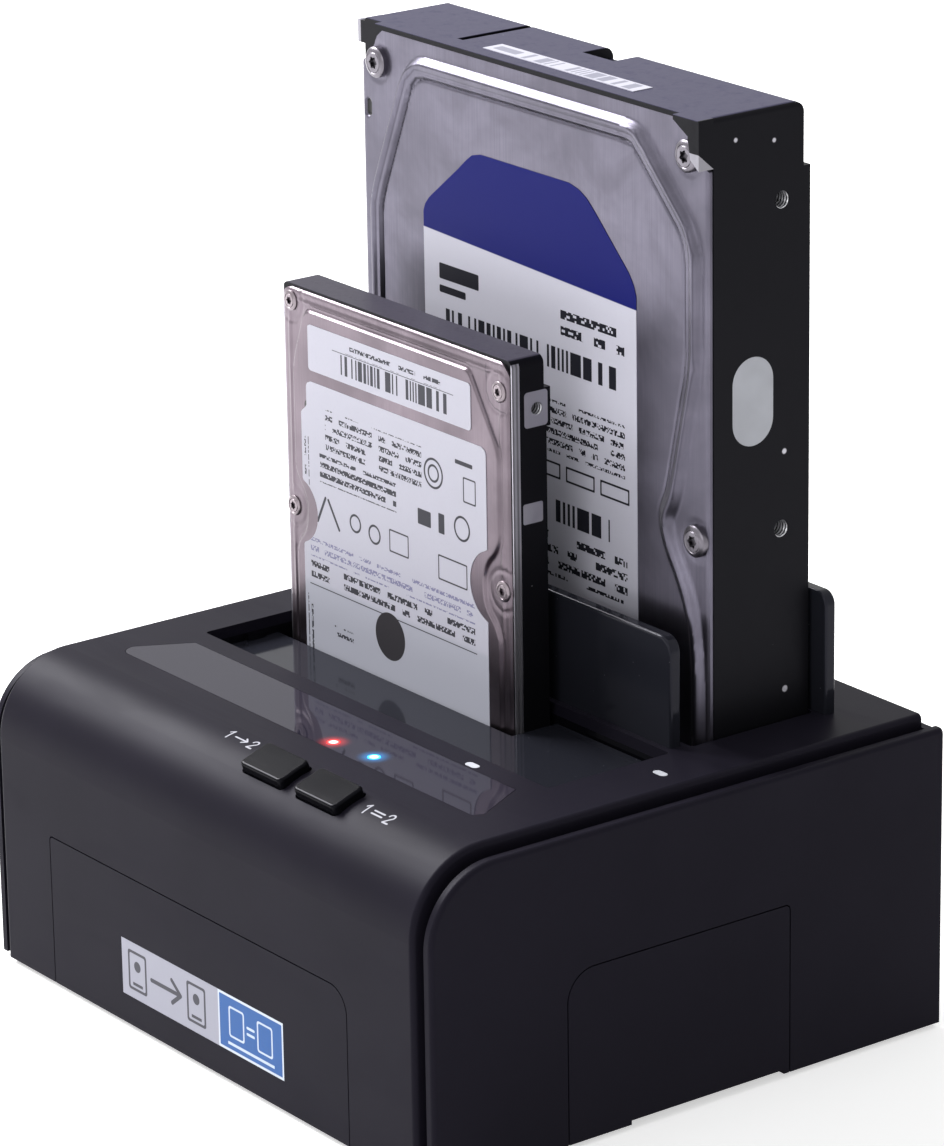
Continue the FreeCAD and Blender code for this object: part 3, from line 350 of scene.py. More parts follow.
def shell_finish(name, centre=(0, 0, 0), marks=False):
    """Satin moulded plastic: fine spark texture, faint handling marks and, on the nose, two legends."""
    s = Shade(name, centre)
    grain = s.noise(3.2, 3.0, 0.6)
    cloud = s.noise(0.035, 3.0, 0.55)
    wipe = s.noise(0.02, 4.0, 0.6, stretch=(1, 5, 5), warp=0.6)
    tint = s.shades(cloud.fade(0.3, 0.75), paint("shell"), 0.86)
    tint = s.mix(grain.fade(0.45, 0.8) * 0.25, tint, scaled(paint("shell"), 1.25))
    rough = 0.4 + cloud * 0.05 + wipe.fade(0.45, 0.7) * 0.045
    if marks:
        ink = legend_marks(s)
        tint = s.mix(ink * 0.9, tint, colour(196, 196, 206))
        rough = rough + ink * 0.15
    s.set(Base_Color=tint, Roughness=rough, Specular_IOR_Level=0.05, Specular_Tint=VIOLET)
    return s.bump((cloud, 0.05, 0.6), (grain, 0.16, 0.05))


def legend_marks(s):
    """Bay numbers beside the keys: 1, an arrow and 2 for a copy, 1, two bars and 2 for a mirror.
    Each mark is drawn from the foot of its own figure 1."""
    key_left, key_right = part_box("backup_button")[0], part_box("mirror_button")[1]
    level = (key_left.y + key_right.y) / 2 / MM
    size, width = 2.3, 0.17

    def figures(x, y, gap):
        """A plain 1, and a plain 2 at a gap to its right."""
        two = x + gap
        arc = s.top.ring((two, y + size * 0.72), size * 0.28, width) * s.y.above(y + size * 0.66)
        return [s.top.path([(x, y), (x, y + size), (x - size * 0.3, y + size * 0.72)], width), arc,
                s.top.path([(two + size * 0.27, y + size * 0.64), (two - size * 0.28, y),
                            (two + size * 0.32, y)], width)]

    def dash(x, y, start, end):
        return s.top.stroke((x + start[0], y + start[1]), (x + end[0], y + end[1]), width)

    copy = (key_left.x / MM - 10.4, level + 0.3)
    mirror = (key_right.x / MM + 3.2, level - 1.6)
    tip = (5.2, 1.1)
    return either(*figures(*copy, 7.0), *figures(*mirror, 6.4),
                  *[dash(*copy, start, tip) for start in ((1.6, 1.1), (4.2, 1.8), (4.2, 0.4))],
                  *[dash(*mirror, (1.7, rise), (4.6, rise)) for rise in (1.5, 0.7)])


def gloss_finish(name, tint, rough=0.07, shine=0.14):
    """Polished black plastic with faint hairlines, dust and slow sink marks."""
    s = Shade(name)
    hair = s.noise(0.5, 4.0, 0.7, stretch=(0.15, 1.0, 6.0), warp=1.2)
    slow = s.noise(0.03, 2.0, 0.5)
    dust = s.speck(0.35).fade(0.05, 0.02)
    s.set(Base_Color=s.mix(dust * 0.35, tint, colour(120, 120, 130)),
          Roughness=rough + hair.fade(0.5, 0.8) * 0.05 + slow * 0.04 + dust * 0.3,
          Specular_IOR_Level=shine, Specular_Tint=VIOLET)
    return s.bump((slow, 0.08, 1.0), (hair, 0.03, 0.02))


def strip_finish():
    """Polished strip with a haze of coloured light round each lamp."""
    s = Shade("strip_gloss")
    slow = s.noise(0.03, 2.0, 0.5)
    glow = (0, 0, 0, 1)
    for node, swatch in (("red_led", (255, 60, 50)), ("blue_led", (60, 170, 255))):
        away = span(*s.top.off(middle(node) / MM))
        glow = s.mix(away.fade(4.2, 0.9) ** 2.2, glow, colour(*swatch))
    s.set(Base_Color=s.shades(slow * 0.3, paint("strip"), 1.2),
          Roughness=0.03 + slow * 0.03, Specular_IOR_Level=0.17, Specular_Tint=VIOLET,
          Emission_Color=glow, Emission_Strength=0.55)
    return s.bump((slow, 0.03, 0.6))


def lamp_finish(name, swatch, strength):
    """Lit lens: a bright middle that falls off towards its rim."""
    centre = middle(name)
    centre.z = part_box(name)[1].z
    s = Shade(name + "_lens", centre)
    core = span(s.x, s.y).fade(1.1, 0.1)
    ripple = s.noise(2.0, 2.0, 0.5)
    lit = s.mix(core * (0.85 + ripple * 0.3), colour(*swatch), (1, 1, 1, 1))
    s.set(Base_Color=colour(*swatch), Roughness=0.2 + ripple * 0.1, Emission_Color=lit,
          Emission_Strength=strength)
    return s.bump((ripple, 0.05, 0.05))


def lens_finish():
    """Clear bay indicator that is off: pale, with faint moulding lines."""
    s = Shade("clear_lens")
    ripple = s.noise(1.5, 2.0, 0.5)
    s.set(Base_Color=s.mix(ripple, colour(196, 198, 208), colour(226, 228, 236)),
          Roughness=0.12 + ripple * 0.1)
    return s.bump((ripple, 0.06, 0.05))


def casting_finish(name, place, top_sheen_tint, bare):
    """Black coat over a casting: orange-peel, a few chips to bare metal and bare machined pads;
    the top end, down to its shallow pockets, gets a lighter painted sheen, where light from above falls."""
    s = Shade(name, place.point(0, 0, 0))
    peel = s.noise(1.1, 3.0, 0.6)
    cloud = s.noise(0.05, 3.0, 0.6)
    chips = s.noise(0.22, 3.0, 0.75).fade(0.735, 0.76)
    metal = either(chips * 0.8, *bare(s))
    tint = s.shades(cloud, paint("casting"), 1.35)
    top = s.z.above(place.long - 0.12).most(s.side.patch((17.0, place.long - 2.4), (9.5, 0.15)))
    # painted sheen: the upward-facing top end and its pocket floors are made lighter, as lit from above
    tint = s.mix(top * abs(s.x).below(place.half - 0.3), tint, top_sheen_tint)
    scuff = s.noise(0.4, 4.0, 0.7, stretch=(1, 1, 0.2))
    s.set(Base_Color=s.mix(metal, tint, colour(176, 174, 182)), Metallic=metal * 0.9,
          Roughness=0.34 + peel * 0.08 + scuff.fade(0.5, 0.8) * 0.12 - metal * 0.08,
          Specular_IOR_Level=0.08, Specular_Tint=VIOLET)
    return s.bump((cloud, 0.05, 0.8), (peel, 0.12, 0.06))


def big_bare_metal(s):
    """Bare metal on the 3.5 inch casting: the end tab, small bright spots on the side and the
    slanting foot of the raised corner."""
    side = s.x.above(BIG.half - 0.4)
    side_spots = [s.side.disc(spot, radius, 0.15) * side
            for spot, radius in (((18.0, 39.8), 0.6), ((17.7, 84.3), 0.5), ((6.6, 142.4), 0.4),
                                 ((15.2, 141.0), 0.4))]
    tab = s.x.below(-BIG.half - 1.3) * s.z.above(BIG.long - 7) * 0.7
    foot = (s.z + s.y * 0.88).below(BIG.long - 7.4) * s.z.above(BIG.long - 9.2)
    return [*side_spots, tab, foot * s.x.above(BIG.half - 4) * s.y.below(1.7) * 0.66]


def small_bare_metal(s):
    """Machined pads round the side holes of the 2.5 inch casting, and its bare upper edge with two
    fine grooves."""
    side = abs(s.x).above(SMALL.half - 0.25)
    upper = s.side.patch((6.3, SMALL.long - 9.6), (2.6, 3.3), 0.7)
    lower = s.side.patch((5.4, SMALL.long - 28.8), (2.2, 1.9), 0.4)
    grooves = s.side.patch((1.25, 50.0), (0.16, 60.0)).most(s.side.patch((2.1, 50.0), (0.22, 60.0)))
    return [upper * side, lower * side, (s.y.below(2.7) - grooves * 0.55) * side]


def steel_finish(name, place, tint, rough, hole, groove):
    """Pressed steel: upright fine brushing, cloudy patches, light scratches, painted shade in a hole and
    painted shade in grooves."""
    s = Shade(name, place.point(0, 0, 0))
    brush = s.noise(2.6, 4.0, 0.7, stretch=(1, 1, 0.02))
    cloud = s.noise(0.045, 4.0, 0.6, warp=0.5)
    scratch = s.noise(0.9, 5.0, 0.8, stretch=(0.12, 1, 1.3), warp=0.8).fade(0.68, 0.72)
    low = scaled(tint, 0.72)
    base = s.mix(cloud.fade(0.3, 0.7), low, scaled(tint, 1.18))
    base = s.mix(brush.fade(0.35, 0.75) * 0.4, base, low)
    # painted shade: the grooves and the lines on the bead are darkened in the steel's colour
    base = s.mix(groove(s) * 0.8, base, colour(34, 32, 40))
    # painted shade: the hole's inside is coloured near black and not metallic
    dark = hole(s)
    s.set(Base_Color=s.mix(dark, base, colour(16, 16, 18)), Metallic=1 - dark,
          Roughness=rough + brush * 0.12 + cloud * 0.08 + scratch * 0.1, Anisotropic=0.35)
    return s.bump((cloud, 0.03, 1.0), (brush, 0.05, 0.02), (scratch, 0.1, 0.01))


def screw_finish(name, swatch=(150, 146, 152), place=None, heads=(), recess=0.0):
    """Plated screw steel with turning marks and dull spots; each head's recess is in shadow."""
    s = Shade(name, place.point(0, 0, 0) if place else (0, 0, 0))
    fine = s.noise(4.0, 4.0, 0.7)
    dull = s.noise(0.6, 3.0, 0.6)
    tint = s.shades(dull, colour(*swatch), 0.7)
    for head in heads:
        tint = s.mix(s.face.disc(head, recess, 0.12) * 0.75, tint, colour(40, 38, 42))
    s.set(Base_Color=tint, Metallic=1.0, Roughness=0.22 + dull * 0.16 + fine * 0.06)
    return s.bump((fine, 0.1, 0.02))


def label_finish(name, place, art):
    """Printed film: faint fibre, a soft sheen and the print given by art."""
    s = Shade(name, place.point(0, 0, 0))
    fibre = s.noise(1.4, 4.0, 0.7)
    fade = s.noise(0.03, 3.0, 0.5)
    base = s.shades(fade, paint("paper"), 0.93)
    base = s.mix(fibre.fade(0.5, 0.8) * 0.08, base, colour(150, 150, 165))
    s.set(Base_Color=art(s, base), Roughness=0.33 + fibre * 0.1, Specular_IOR_Level=0.06)
    return s.bump((fade, 0.05, 0.4), (fibre, 0.06, 0.02))


INK = colour(34, 34, 42)


def big_label_art(s, base):
    """Blue header with a slanting foot over bars, rows of fine print and a few plain marks."""
    face = s.face
    slope, foot = 0.039, 110.2
    base = s.mix((s.z + s.x * slope - foot).fade(-0.1, 0.1), base, paint("header"))
    bars = [face.bars((0.0, 95.0), (25.6, 2.1), 0.62, 0.52), face.bars((14.5, 66.2), (9.0, 2.1), 0.7, 0.5)]
    title = [face.patch((-20.6, 104.0), (6.0, 1.5), 0.3), face.patch((-22.6, 100.6), (4.0, 0.7), 0.3)]
    rows = [face.writing(*row) for row in
            (((-12.0, 91.4), (13.6, 1.0), 2.1, 1.0), ((18.6, 101.8), (9.4, 3.2), 3.0, 1.4, 0.8),
             ((0.0, 82.0), (28.0, 5.0), 2.0, 0.8), ((11.0, 58.0), (17.5, 4.6), 2.6, 1.2, 0.7),
             ((13.0, 47.0), (15.0, 4.2), 2.8, 1.4, 0.8))]
    boxes = [face.frame((x, 73.8), (4.2, 1.5), 0.4, 0.2) for x in (5.0, 15.0, 25.0)]
    rule = face.patch((0.0, 41.6), (28.0, 0.12))
    return s.mix(either(*bars, *title, *rows, *boxes, rule), base, INK)


def small_label_art(s, base):
    """Rows of fine print, plain round and square marks, a rule and a dark round spot."""
    face, turned = s.face, Drawing(s, s.z, s.x)
    rows = [face.writing(*row) for row in
            (((-6.0, 74.6), (15.0, 4.0), 1.9, 0.9), ((-11.0, 66.8), (12.0, 2.8), 1.9, 1.0, 0.75),
             ((-1.0, 46.6), (25.5, 2.1), 2.1, 1.0, 0.72), ((-16.4, 35.8), (3.0, 1.0), 2.0, 0.9, 0.7))]
    rims = [turned.writing((62.0, -27.1), (10.0, 0.7), 1.5, 0.8),
            turned.writing((32.0, -27.0), (9.0, 0.8), 1.7, 1.0, 0.8)]
    rings = [face.ring((x, z), radius, 0.22) for x, z, radius in
             ((12.6, 74.4, 2.7), (12.6, 74.4, 1.5), (-6.0, 58.0, 1.7), (-12.0, 58.6, 1.6), (21.0, 66.0, 2.2))]
    boxes = [face.frame((x, z), half, 0.3) for x, z, half in
             ((1.6, 58.2, (3.0, 2.2)), (18.0, 57.0, (4.4, 2.4)), (23.4, 73.6, (1.9, 2.4)))]
    solids = [face.patch((x, z), half, 0.2) for x, z, half in
              ((21.8, 78.4, (2.6, 0.4)), (9.6, 65.2, (2.0, 1.5)), (14.8, 65.4, (0.9, 1.9)))]
    lines = [face.stroke((-20.5, 61.0), (-17.2, 56.0), 0.3), face.stroke((-24.0, 56.2), (-21.4, 61.2), 0.3),
             face.patch((-1.0, 43.2), (26.0, 0.1))]
    lower = s.mix(s.z.fade(44.5, 43.0) * 0.8, base, colour(186, 188, 200))
    inked = s.mix(either(*rows, *rims, *rings, *boxes, *solids, *lines) * 0.92, lower, INK)
    pale = face.writing((-1.0, 50.6), (25.5, 1.9), 1.9, 0.8)
    inked = s.mix(pale * 0.8, inked, colour(120, 118, 160))
    return s.mix(face.disc((-1.7, 39.3), 4.6), inked, colour(62, 60, 64))


def small_top_art(s, base):
    """A row of bars under a rule and a line of fine print."""
    marks = either(s.face.bars((0.4, 88.4), (16.6, 1.9), 0.42, 0.5), s.face.patch((0.4, 90.6), (18.6, 0.07)),
                   s.face.writing((1.0, 91.6), (15.0, 0.8), 1.6, 1.1, 0.7))
    return s.mix(marks * 0.9, base, INK)


def end_label_art(s, base):
    """Bars along the strip on the drive's top end."""
    marks = s.top.bars((9.6, 5.3), (15.6, 1.7), 0.6, 0.5).most(s.top.patch((-11.6, 5.3), (3.4, 1.1), 0.3))
    return s.mix(marks * 0.75, base, colour(128, 128, 145))


def sticker_finish():
    """Front sticker: a light field with two drives and an arrow, and a blue field with two bays."""
    low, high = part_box("front_label")
    wide, tall = (high.x - low.x) / 2 / MM, (high.z - low.z) / 2 / MM
    s = Shade("front_sticker", (middle("front_label").x, low.y, middle("front_label").z))
    face = s.face
    split = 5.4
    blue, half = (split + wide) / 2, (wide - split) / 2
    fibre = s.noise(1.2, 3.0, 0.6)
    base = s.shades(fibre * 0.3, paint("sticker_grey"), 0.9)
    base = s.mix(face.patch((blue, 0), (half, tall)), base, colour(214, 222, 234))
    base = s.mix(face.patch((blue, 0), (half - 0.45, tall - 0.5), 0.2), base, paint("sticker_blue"))
    tip = (-6.6, 0.0)
    dark = [face.stroke(start, tip, 0.42) for start in ((-16.0, 0.0), (-9.4, 2.2), (-9.4, -2.2))]
    for x in (-20.6, -1.6):
        dark += [face.frame((x, 0.0), (3.0, 3.9), 0.55, 0.6, 0.4), face.disc((x, 1.0), 1.05),
                 face.patch((x, -2.6), (1.6, 0.3), 0.1)]
    light = [face.frame((blue + x, 0.4), (2.4, 3.0), 0.4, 0.6, 0.4) for x in (-4.4, 4.4)]
    light += [face.stroke((blue - 1.0, z), (blue + 1.0, z), 0.26) for z in (0.9, -0.3)]
    light.append(face.patch((blue, -3.9), (7.2, 0.28), 0.1))
    base = s.mix(either(*dark) * 0.92, base, colour(44, 44, 54))
    base = s.mix(either(*light) * 0.9, base, colour(214, 226, 240))
    s.set(Base_Color=base, Roughness=0.3 + fibre * 0.12, Specular_IOR_Level=0.2)
    return s.bump((fibre, 0.05, 0.03))


def rubber_finish():
    """Moulded rubber with a matt, slightly dusty surface."""
    s = Shade("foot_rubber")
    grain = s.noise(2.5, 4.0, 0.7)
    s.set(Base_Color=s.mix(grain, colour(18, 18, 19), colour(36, 36, 38)), Roughness=0.75 + grain * 0.15)
    return s.bump((grain, 0.3, 0.08))


def board_finish(name, place=(0, 0, 0), upright=True):
    """Circuit board: solder mask over tracks, with rows of bright pads and vias."""
    s = Shade(name, place)
    a, b = s.x, (s.z if upright else s.y)
    tracks = (s.chance((a / 2.4).floor()) * 6 + b * 0.9).wave().above(0.55)
    cross = (s.chance((b / 3.1).floor()) * 6 + a * 0.8).wave().above(0.7)
    raised = tracks.most(cross)
    pitch = 2.54
    cell_a, cell_b = (a / pitch).floor(), (b / pitch).floor()
    ring = span(a - (cell_a * pitch + pitch / 2), b - (cell_b * pitch + pitch / 2)) - 0.42
    pads = ring.fade(0.05, -0.05) * s.chance(cell_a, cell_b).above(0.72)
    cloud = s.noise(0.2, 2.0, 0.5)
    mask = s.mix(cloud, colour(10, 66, 44), colour(14, 84, 54))
    lines = s.mix(raised * 0.5, mask, colour(30, 120, 80))
    s.set(Base_Color=s.mix(pads, lines, colour(200, 190, 150)), Metallic=pads * 0.9,
          Roughness=0.35 + cloud * 0.1)
    return s.bump((raised, 0.15, 0.03), (pads, 0.3, 0.05))


def moulded_finish(name, swatch, rough=0.5):
    """Plain moulded plastic of connectors and chips: fine texture with slight gloss changes."""
    s = Shade(name)
    grain = s.noise(2.8, 3.0, 0.6)
    cloud = s.noise(0.15, 2.0, 0.5)
    s.set(Base_Color=s.shades(cloud, colour(*swatch), 1.4), Roughness=rough + grain * 0.12)
    return s.bump((grain, 0.15, 0.04))


# ---------------------------------------------------------------- surfaces
def mesh_piece(name, points, faces, material, body, slot, smooth=35):
    """A mesh object from arrays of points in metres and faces, smooth but for its sharp edges."""
    mesh = bpy.data.meshes.new(name)
    mesh.from_pydata(np.asarray(points, float).reshape(-1, 3).tolist(), [],
                     [list(map(int, f)) for f in faces])
    mesh.validate()
    mesh.materials.append(material)
    piece = bpy.data.objects.new(name, mesh)
    bpy.context.scene.collection.objects.link(piece)
    work = bmesh.new()
    work.from_mesh(mesh)
    bmesh.ops.recalc_face_normals(work, faces=work.faces)
    for face in work.faces:
        face.smooth = True
    for edge in work.edges:
        edge.smooth = len(edge.link_faces) == 2 and edge.calc_face_angle(0) < math.radians(smooth)
    work.to_mesh(mesh)
    work.free()
    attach(piece, body)
    return piece


def grid_faces(rows, columns, wrap=False):
    """Faces of a grid of points; wrap joins its last column to its first."""
    i, j = np.meshgrid(np.arange(rows - 1), np.arange(columns - (0 if wrap else 1)), indexing="ij")
    k = (j + 1) % columns
    return np.stack([i * columns + j, i * columns + k, (i + 1) * columns + k, (i + 1) * columns + j],
                    axis=-1).reshape(-1, 4)


def joined(first, second):
    """Quads between two closed rings of point numbers."""
    return np.stack([first, np.roll(first, -1), np.roll(second, -1), second], axis=-1)


def fan(ring, hub):
    """Triangles between a closed ring of point numbers and one point."""
    return np.stack([ring, np.roll(ring, -1), np.full(len(ring), hub)], axis=-1)


def gathered(parts):
    """Many pairs of points and faces as one pair."""
    points, faces, start = [], [], 0
    for made, quads in parts:
        points.append(made)
        faces += [quad + start for quad in quads]
        start += len(made)
    return np.concatenate(points), faces


def border(rows, columns):
    """Indices of a grid's border, once round."""
    index = np.arange(rows * columns).reshape(rows, columns)
    return np.concatenate([index[0, :], index[1:, -1], index[-1, -2::-1], index[-2:0:-1, 0]])


def round_end(z, corner_low, corner_high):
    """How far rounded corners at both ends pull the side in at each height: r - sqrt(r^2 - d^2)."""
    def pull(gap, radius):
        inside = np.clip(radius - gap, 0, radius)
        return radius - np.sqrt(radius ** 2 - inside ** 2)
    return pull(z - z[0], corner_low) + pull(z[-1] - z, corner_high)


def plate(name, place, front, back, left, right, corners, z, share, material, slot):
    """Closed sheet that faces -y. Row by row it runs from left to right, both pulled in by the
    corners at its ends; its front is the height field front(x, z), measured inwards in
    millimetres, and its back is flat. share says where its columns lie between the two sides."""
    pull = round_end(z, *corners)
    left, right = (left + pull)[:, None], (right - pull)[:, None]
    xx = left + share * (right - left)
    zz = z[:, None] + 0 * xx
    sheet = np.stack(place.point(xx, front(xx, zz), zz), axis=-1).reshape(-1, 3)
    rim = border(*xx.shape)
    skirt = sheet[rim].copy()
    skirt[:, 1] = place.point(0, back, 0)[1]
    centre = np.array([[skirt[:, 0].mean(), skirt[0, 1], skirt[:, 2].mean()]])
    ring = len(sheet) + np.arange(len(rim))
    faces = [*grid_faces(*xx.shape), *joined(rim, ring), *fan(ring, ring[-1] + 1)]
    return mesh_piece(name, np.concatenate([sheet, skirt, centre]), faces, material, place.body, slot)


def steps(*runs):
    """Rising numbers in runs of even steps: (start, step), (start, step), ..., (end, any)."""
    parts = [np.linspace(a, b, max(2, math.ceil((b - a) / step)), endpoint=False)
             for (a, step), (b, _) in zip(runs, runs[1:])]
    return np.concatenate([*parts, [runs[-1][0]]])


def path_gap(x, z, points):
    """Distance from each (x, z) to a chain of straight runs, in millimetres."""
    best = np.full(x.shape, np.inf)
    for (ax, az), (bx, bz) in zip(points, points[1:]):
        dx, dz = bx - ax, bz - az
        if math.hypot(dx, dz) < 1e-6:
            continue
        share = np.clip(((x - ax) * dx + (z - az) * dz) / (dx * dx + dz * dz), 0, 1)
        best = np.minimum(best, np.hypot(x - ax - share * dx, z - az - share * dz))
    return best


def rounded(points, radius):
    """A chain of points whose inner corners are cut by quadratic curves of about that radius,
    (1 - t)^2 start + 2 t (1 - t) corner + t^2 stop."""
    curve = np.linspace(0, 1, 7)
    path = [points[0]]
    for before, corner, after in zip(points, points[1:], points[2:]):
        before, corner, after = map(np.array, (before, corner, after))
        cut = min(radius, np.linalg.norm(before - corner) / 2, np.linalg.norm(after - corner) / 2)
        start, stop = (corner + (end - corner) / np.linalg.norm(end - corner) * cut
                       for end in (before, after))
        path += [tuple((1 - t) ** 2 * start + 2 * t * (1 - t) * corner + t * t * stop) for t in curve]
    return path + [points[-1]]


def inside(x, z, points):
    """True where (x, z) lies inside a closed chain of points (even-odd rule)."""
    found = np.zeros(x.shape, bool)
    for (ax, az), (bx, bz) in zip(points, points[1:] + points[:1]):
        if az == bz:
            continue
        crosses = ((az > z) != (bz > z)) & (x < (bx - ax) * (z - az) / (bz - az) + ax)
        found ^= crosses
    return found


def outside(x, z, points):
    """Signed distance from a closed outline: below zero inside it."""
    gap = path_gap(x, z, points)
    return np.where(inside(x, z, points), -gap, gap)


def ease(value, low, high):
    """Smooth step from 0 at low to 1 at high."""
    share = np.clip((value - low) / (high - low), 0, 1)
    return share * share * (3 - 2 * share)


# ---------------------------------------------------------------- the 3.5 inch drive
def both_sides(*places):
    """Each place and its mirror image."""
    return [(x * side, z) for x, z in places for side in (-1, 1)]


BIG_SCREWS = both_sides((BIG.half - 5.4, BIG.long - 7.4), (BIG.half - 3.4, BIG.long - 76.6),
                        (BIG.half - 6.8, 11.5))
SMALL_KNEE = SMALL.long - 43.2
SMALL_SCREWS = [(3.0 - SMALL.half, SMALL.long - 3.2), (SMALL.half - 3.1, SMALL.long - 6.1),
                *both_sides((SMALL.half - 2.6, SMALL_KNEE), (SMALL.half - 3.9, 9.0))]
BIG_SLOT = (2.0 - BIG.half, BIG.long - 16.6)
BIG_EDGE = BIG.half - 0.2
GROOVE_IN = 2.7
BIG_FIELD = 0.1
LABEL_COLUMNS = np.linspace(0, 1, 30)


def big_bead():
    """The crest of the bead, from the lower left over the top to the lower right."""
    top = BIG.long
    left = [(-46.8, 14.0), (-46.8, 60.0), (-43.4, 67.5), (-43.4, 76.0), (-46.8, 84.0), (-46.8, top - 34),
            (-45.6, top - 30), (-36.6, top - 8.4), (-32.6, top - 5.2)]
    right = [(27.6, top - 5.2), (31.6, top - 5.5), (46.0, top - 20.0), (47.6, top - 24.5), (47.7, 102.0),
             (41.8, 77.0), (39.3, 72.4), (40.8, 68.1), (44.6, 62.3), (47.2, 56.0), (48.3, 48.0), (48.4, 14.0)]
    return left + right


def big_groove_shade(s):
    """Painted shadow in the narrow groove that follows the bead's inner side above the bend, and two
    faint painted dark lines on the bead itself that split its highlight."""
    line = [(x, z) for x, z in big_bead() if z > 76.5]
    before = [(line[0][0], 70.0), *line]
    after = [*line[1:], (line[-1][0] - 2, 72.0)]

    def beside(inward, half_width):
        """The bead's crest, moved inwards at a right angle to the run through its neighbours."""
        near = []
        for (ax, az), (x, z), (bx, bz) in zip(before, line, after):
            run = Vector((bx - ax, bz - az)).normalized()
            near.append((x + run.y * inward, z - run.x * inward))
        return s.face.path(near, half_width, 0.2)
    # painted shade along the groove and two dark lines across the bead's highlight
    return either(beside(GROOVE_IN, 0.14), beside(1.1, 0.1) * 0.5, beside(-0.15, 0.1) * 0.6)


def big_cover_front(x, z):
    """Depth of the big cover's face behind the level of the label's field. Outside the bead lies the
    rim, 0.7 deeper; the bead rises in a smooth step to its crest, inside which it falls by a
    shelf and a narrow groove, or below the bend in one smooth step, to the field. Each level is
    picked by the signed distance from the crest; round each screw is a shallow dish, and beside
    one middle screw stands a low half arch."""
    bead, half_width, rim = length("bead"), length("bead_width") / 2, 0.7
    out = outside(x, z, rounded(big_bead(), 5.0))
    crest = rim - bead
    outer = crest + bead * ease(out, 0.0, half_width)
    stepped = np.interp(out, [-3.6, -3.0, -2.7, -2.4, -2.05, -1.75, -1.3, -0.75, -0.35, 0.0],
                        [BIG_FIELD, BIG_FIELD, 0.42, 0.1, -0.32, -0.4, -0.3, crest + 0.16, crest + 0.02,
                         crest])
    plain = crest + (BIG_FIELD - crest) * ease(-out, 0.5, half_width + 0.8)
    upper = ease(z, 70.0, 84.0)
    depth = np.where(out > 0, outer, stepped * upper + plain * (1 - upper))
    for sx, sz in BIG_SCREWS:
        depth = depth + (1 - ease(np.hypot(x - sx, z - sz), 3.2, 4.4)) * 0.12
    sx, sz = BIG_SCREWS[2]
    arch_radius, arch_width, arch_height = 4.6, 0.6, 0.22
    arch = np.clip(1 - np.abs(np.hypot(x - sx, z - sz) - arch_radius) / arch_width, 0, 1)
    depth = depth - arch_height * arch * (x < sx - 0.5) * (out > 1.2)
    edge = BIG_EDGE - np.abs(x)
    depth = depth + 0.3 * (1 - ease(edge, 0.0, 0.9)) ** 2
    slot_gap = np.hypot(x - BIG_SLOT[0], np.clip(np.abs(z - BIG_SLOT[1]) - 0.8, 0, None))
    return depth + (1 - ease(slot_gap, 0.7, 1.0)) * 0.6


def side_line(z, top, places):
    """A side of a plate: its x at each height, from (distance below top, x) pairs."""
    return np.interp(z, [top - below for below, _ in places], [x for _, x in places])


def make_big_cover():
    """Pressed cover of the 3.5 inch drive: its upper corners leave room round the screws."""
    low, top = 8.0, BIG.long - 1.3
    fair = length("grid")
    fine, coarse = fair * 0.6, fair * 2.4
    z = steps((low, coarse), (44.0, fair), (94.0, coarse), (108.0, fair), (114.0, fine), (top, fine))
    share = (steps((-BIG_EDGE, fine), (-36.0, fair), (-30.0, coarse), (26.0, fair), (36.0, fine),
                   (BIG_EDGE, fine)) / BIG_EDGE + 1) / 2
    left = -side_line(z, top, [(6.9, BIG_EDGE), (4.6, 47.6), (1.2, 45.6), (0, 44.0)])
    right = side_line(z, top, [(8.2, BIG_EDGE), (6.3, 47.9), (2.3, 46.4), (0.6, 44.3), (0, 42.6)])
    # painted shade: the slot's inside is dark, and the groove and two lines on the bead are darkened
    steel = steel_finish("big_cover_steel", BIG, paint("big_steel"), 0.3,
                         lambda s: s.face.patch(BIG_SLOT, (0.8, 1.6), 0.8), big_groove_shade)
    cover = plate("hdd_pressed_cover", BIG, big_cover_front, 1.65, left, right, (3, 0), z, share, steel,
                  "cover_steel")
    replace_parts(cover, "hdd_cover")


def make_big_label():
    """Face label of the 3.5 inch drive, with two cut and rounded upper corners."""
    top = BIG.long
    z = steps((34.0, 2.0), (top - 36.0, 0.3), (top - 18.7, 1))
    left = side_line(z, top, [(32.6, -31.2), (31.2, -30.6), (29.8, -29.4), (22.3, -19.9), (20.6, -17.9),
                              (19.3, -16.1), (18.7, -13.6)])
    right = side_line(z, top, [(35.6, 31.4), (33.6, 30.7), (31.6, 29.3), (22.6, 19.9), (20.6, 17.6),
                               (19.4, 15.4), (18.7, 12.4)])
    front = BIG_FIELD - length("film")
    label = plate("hdd_face_label", BIG, lambda x, z: front + 0 * x, BIG_FIELD + 0.02, left, right, (1, 0),
                  z, LABEL_COLUMNS, label_finish("big_label_film", BIG, big_label_art), "paper_white")
    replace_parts(label, "hdd_label")


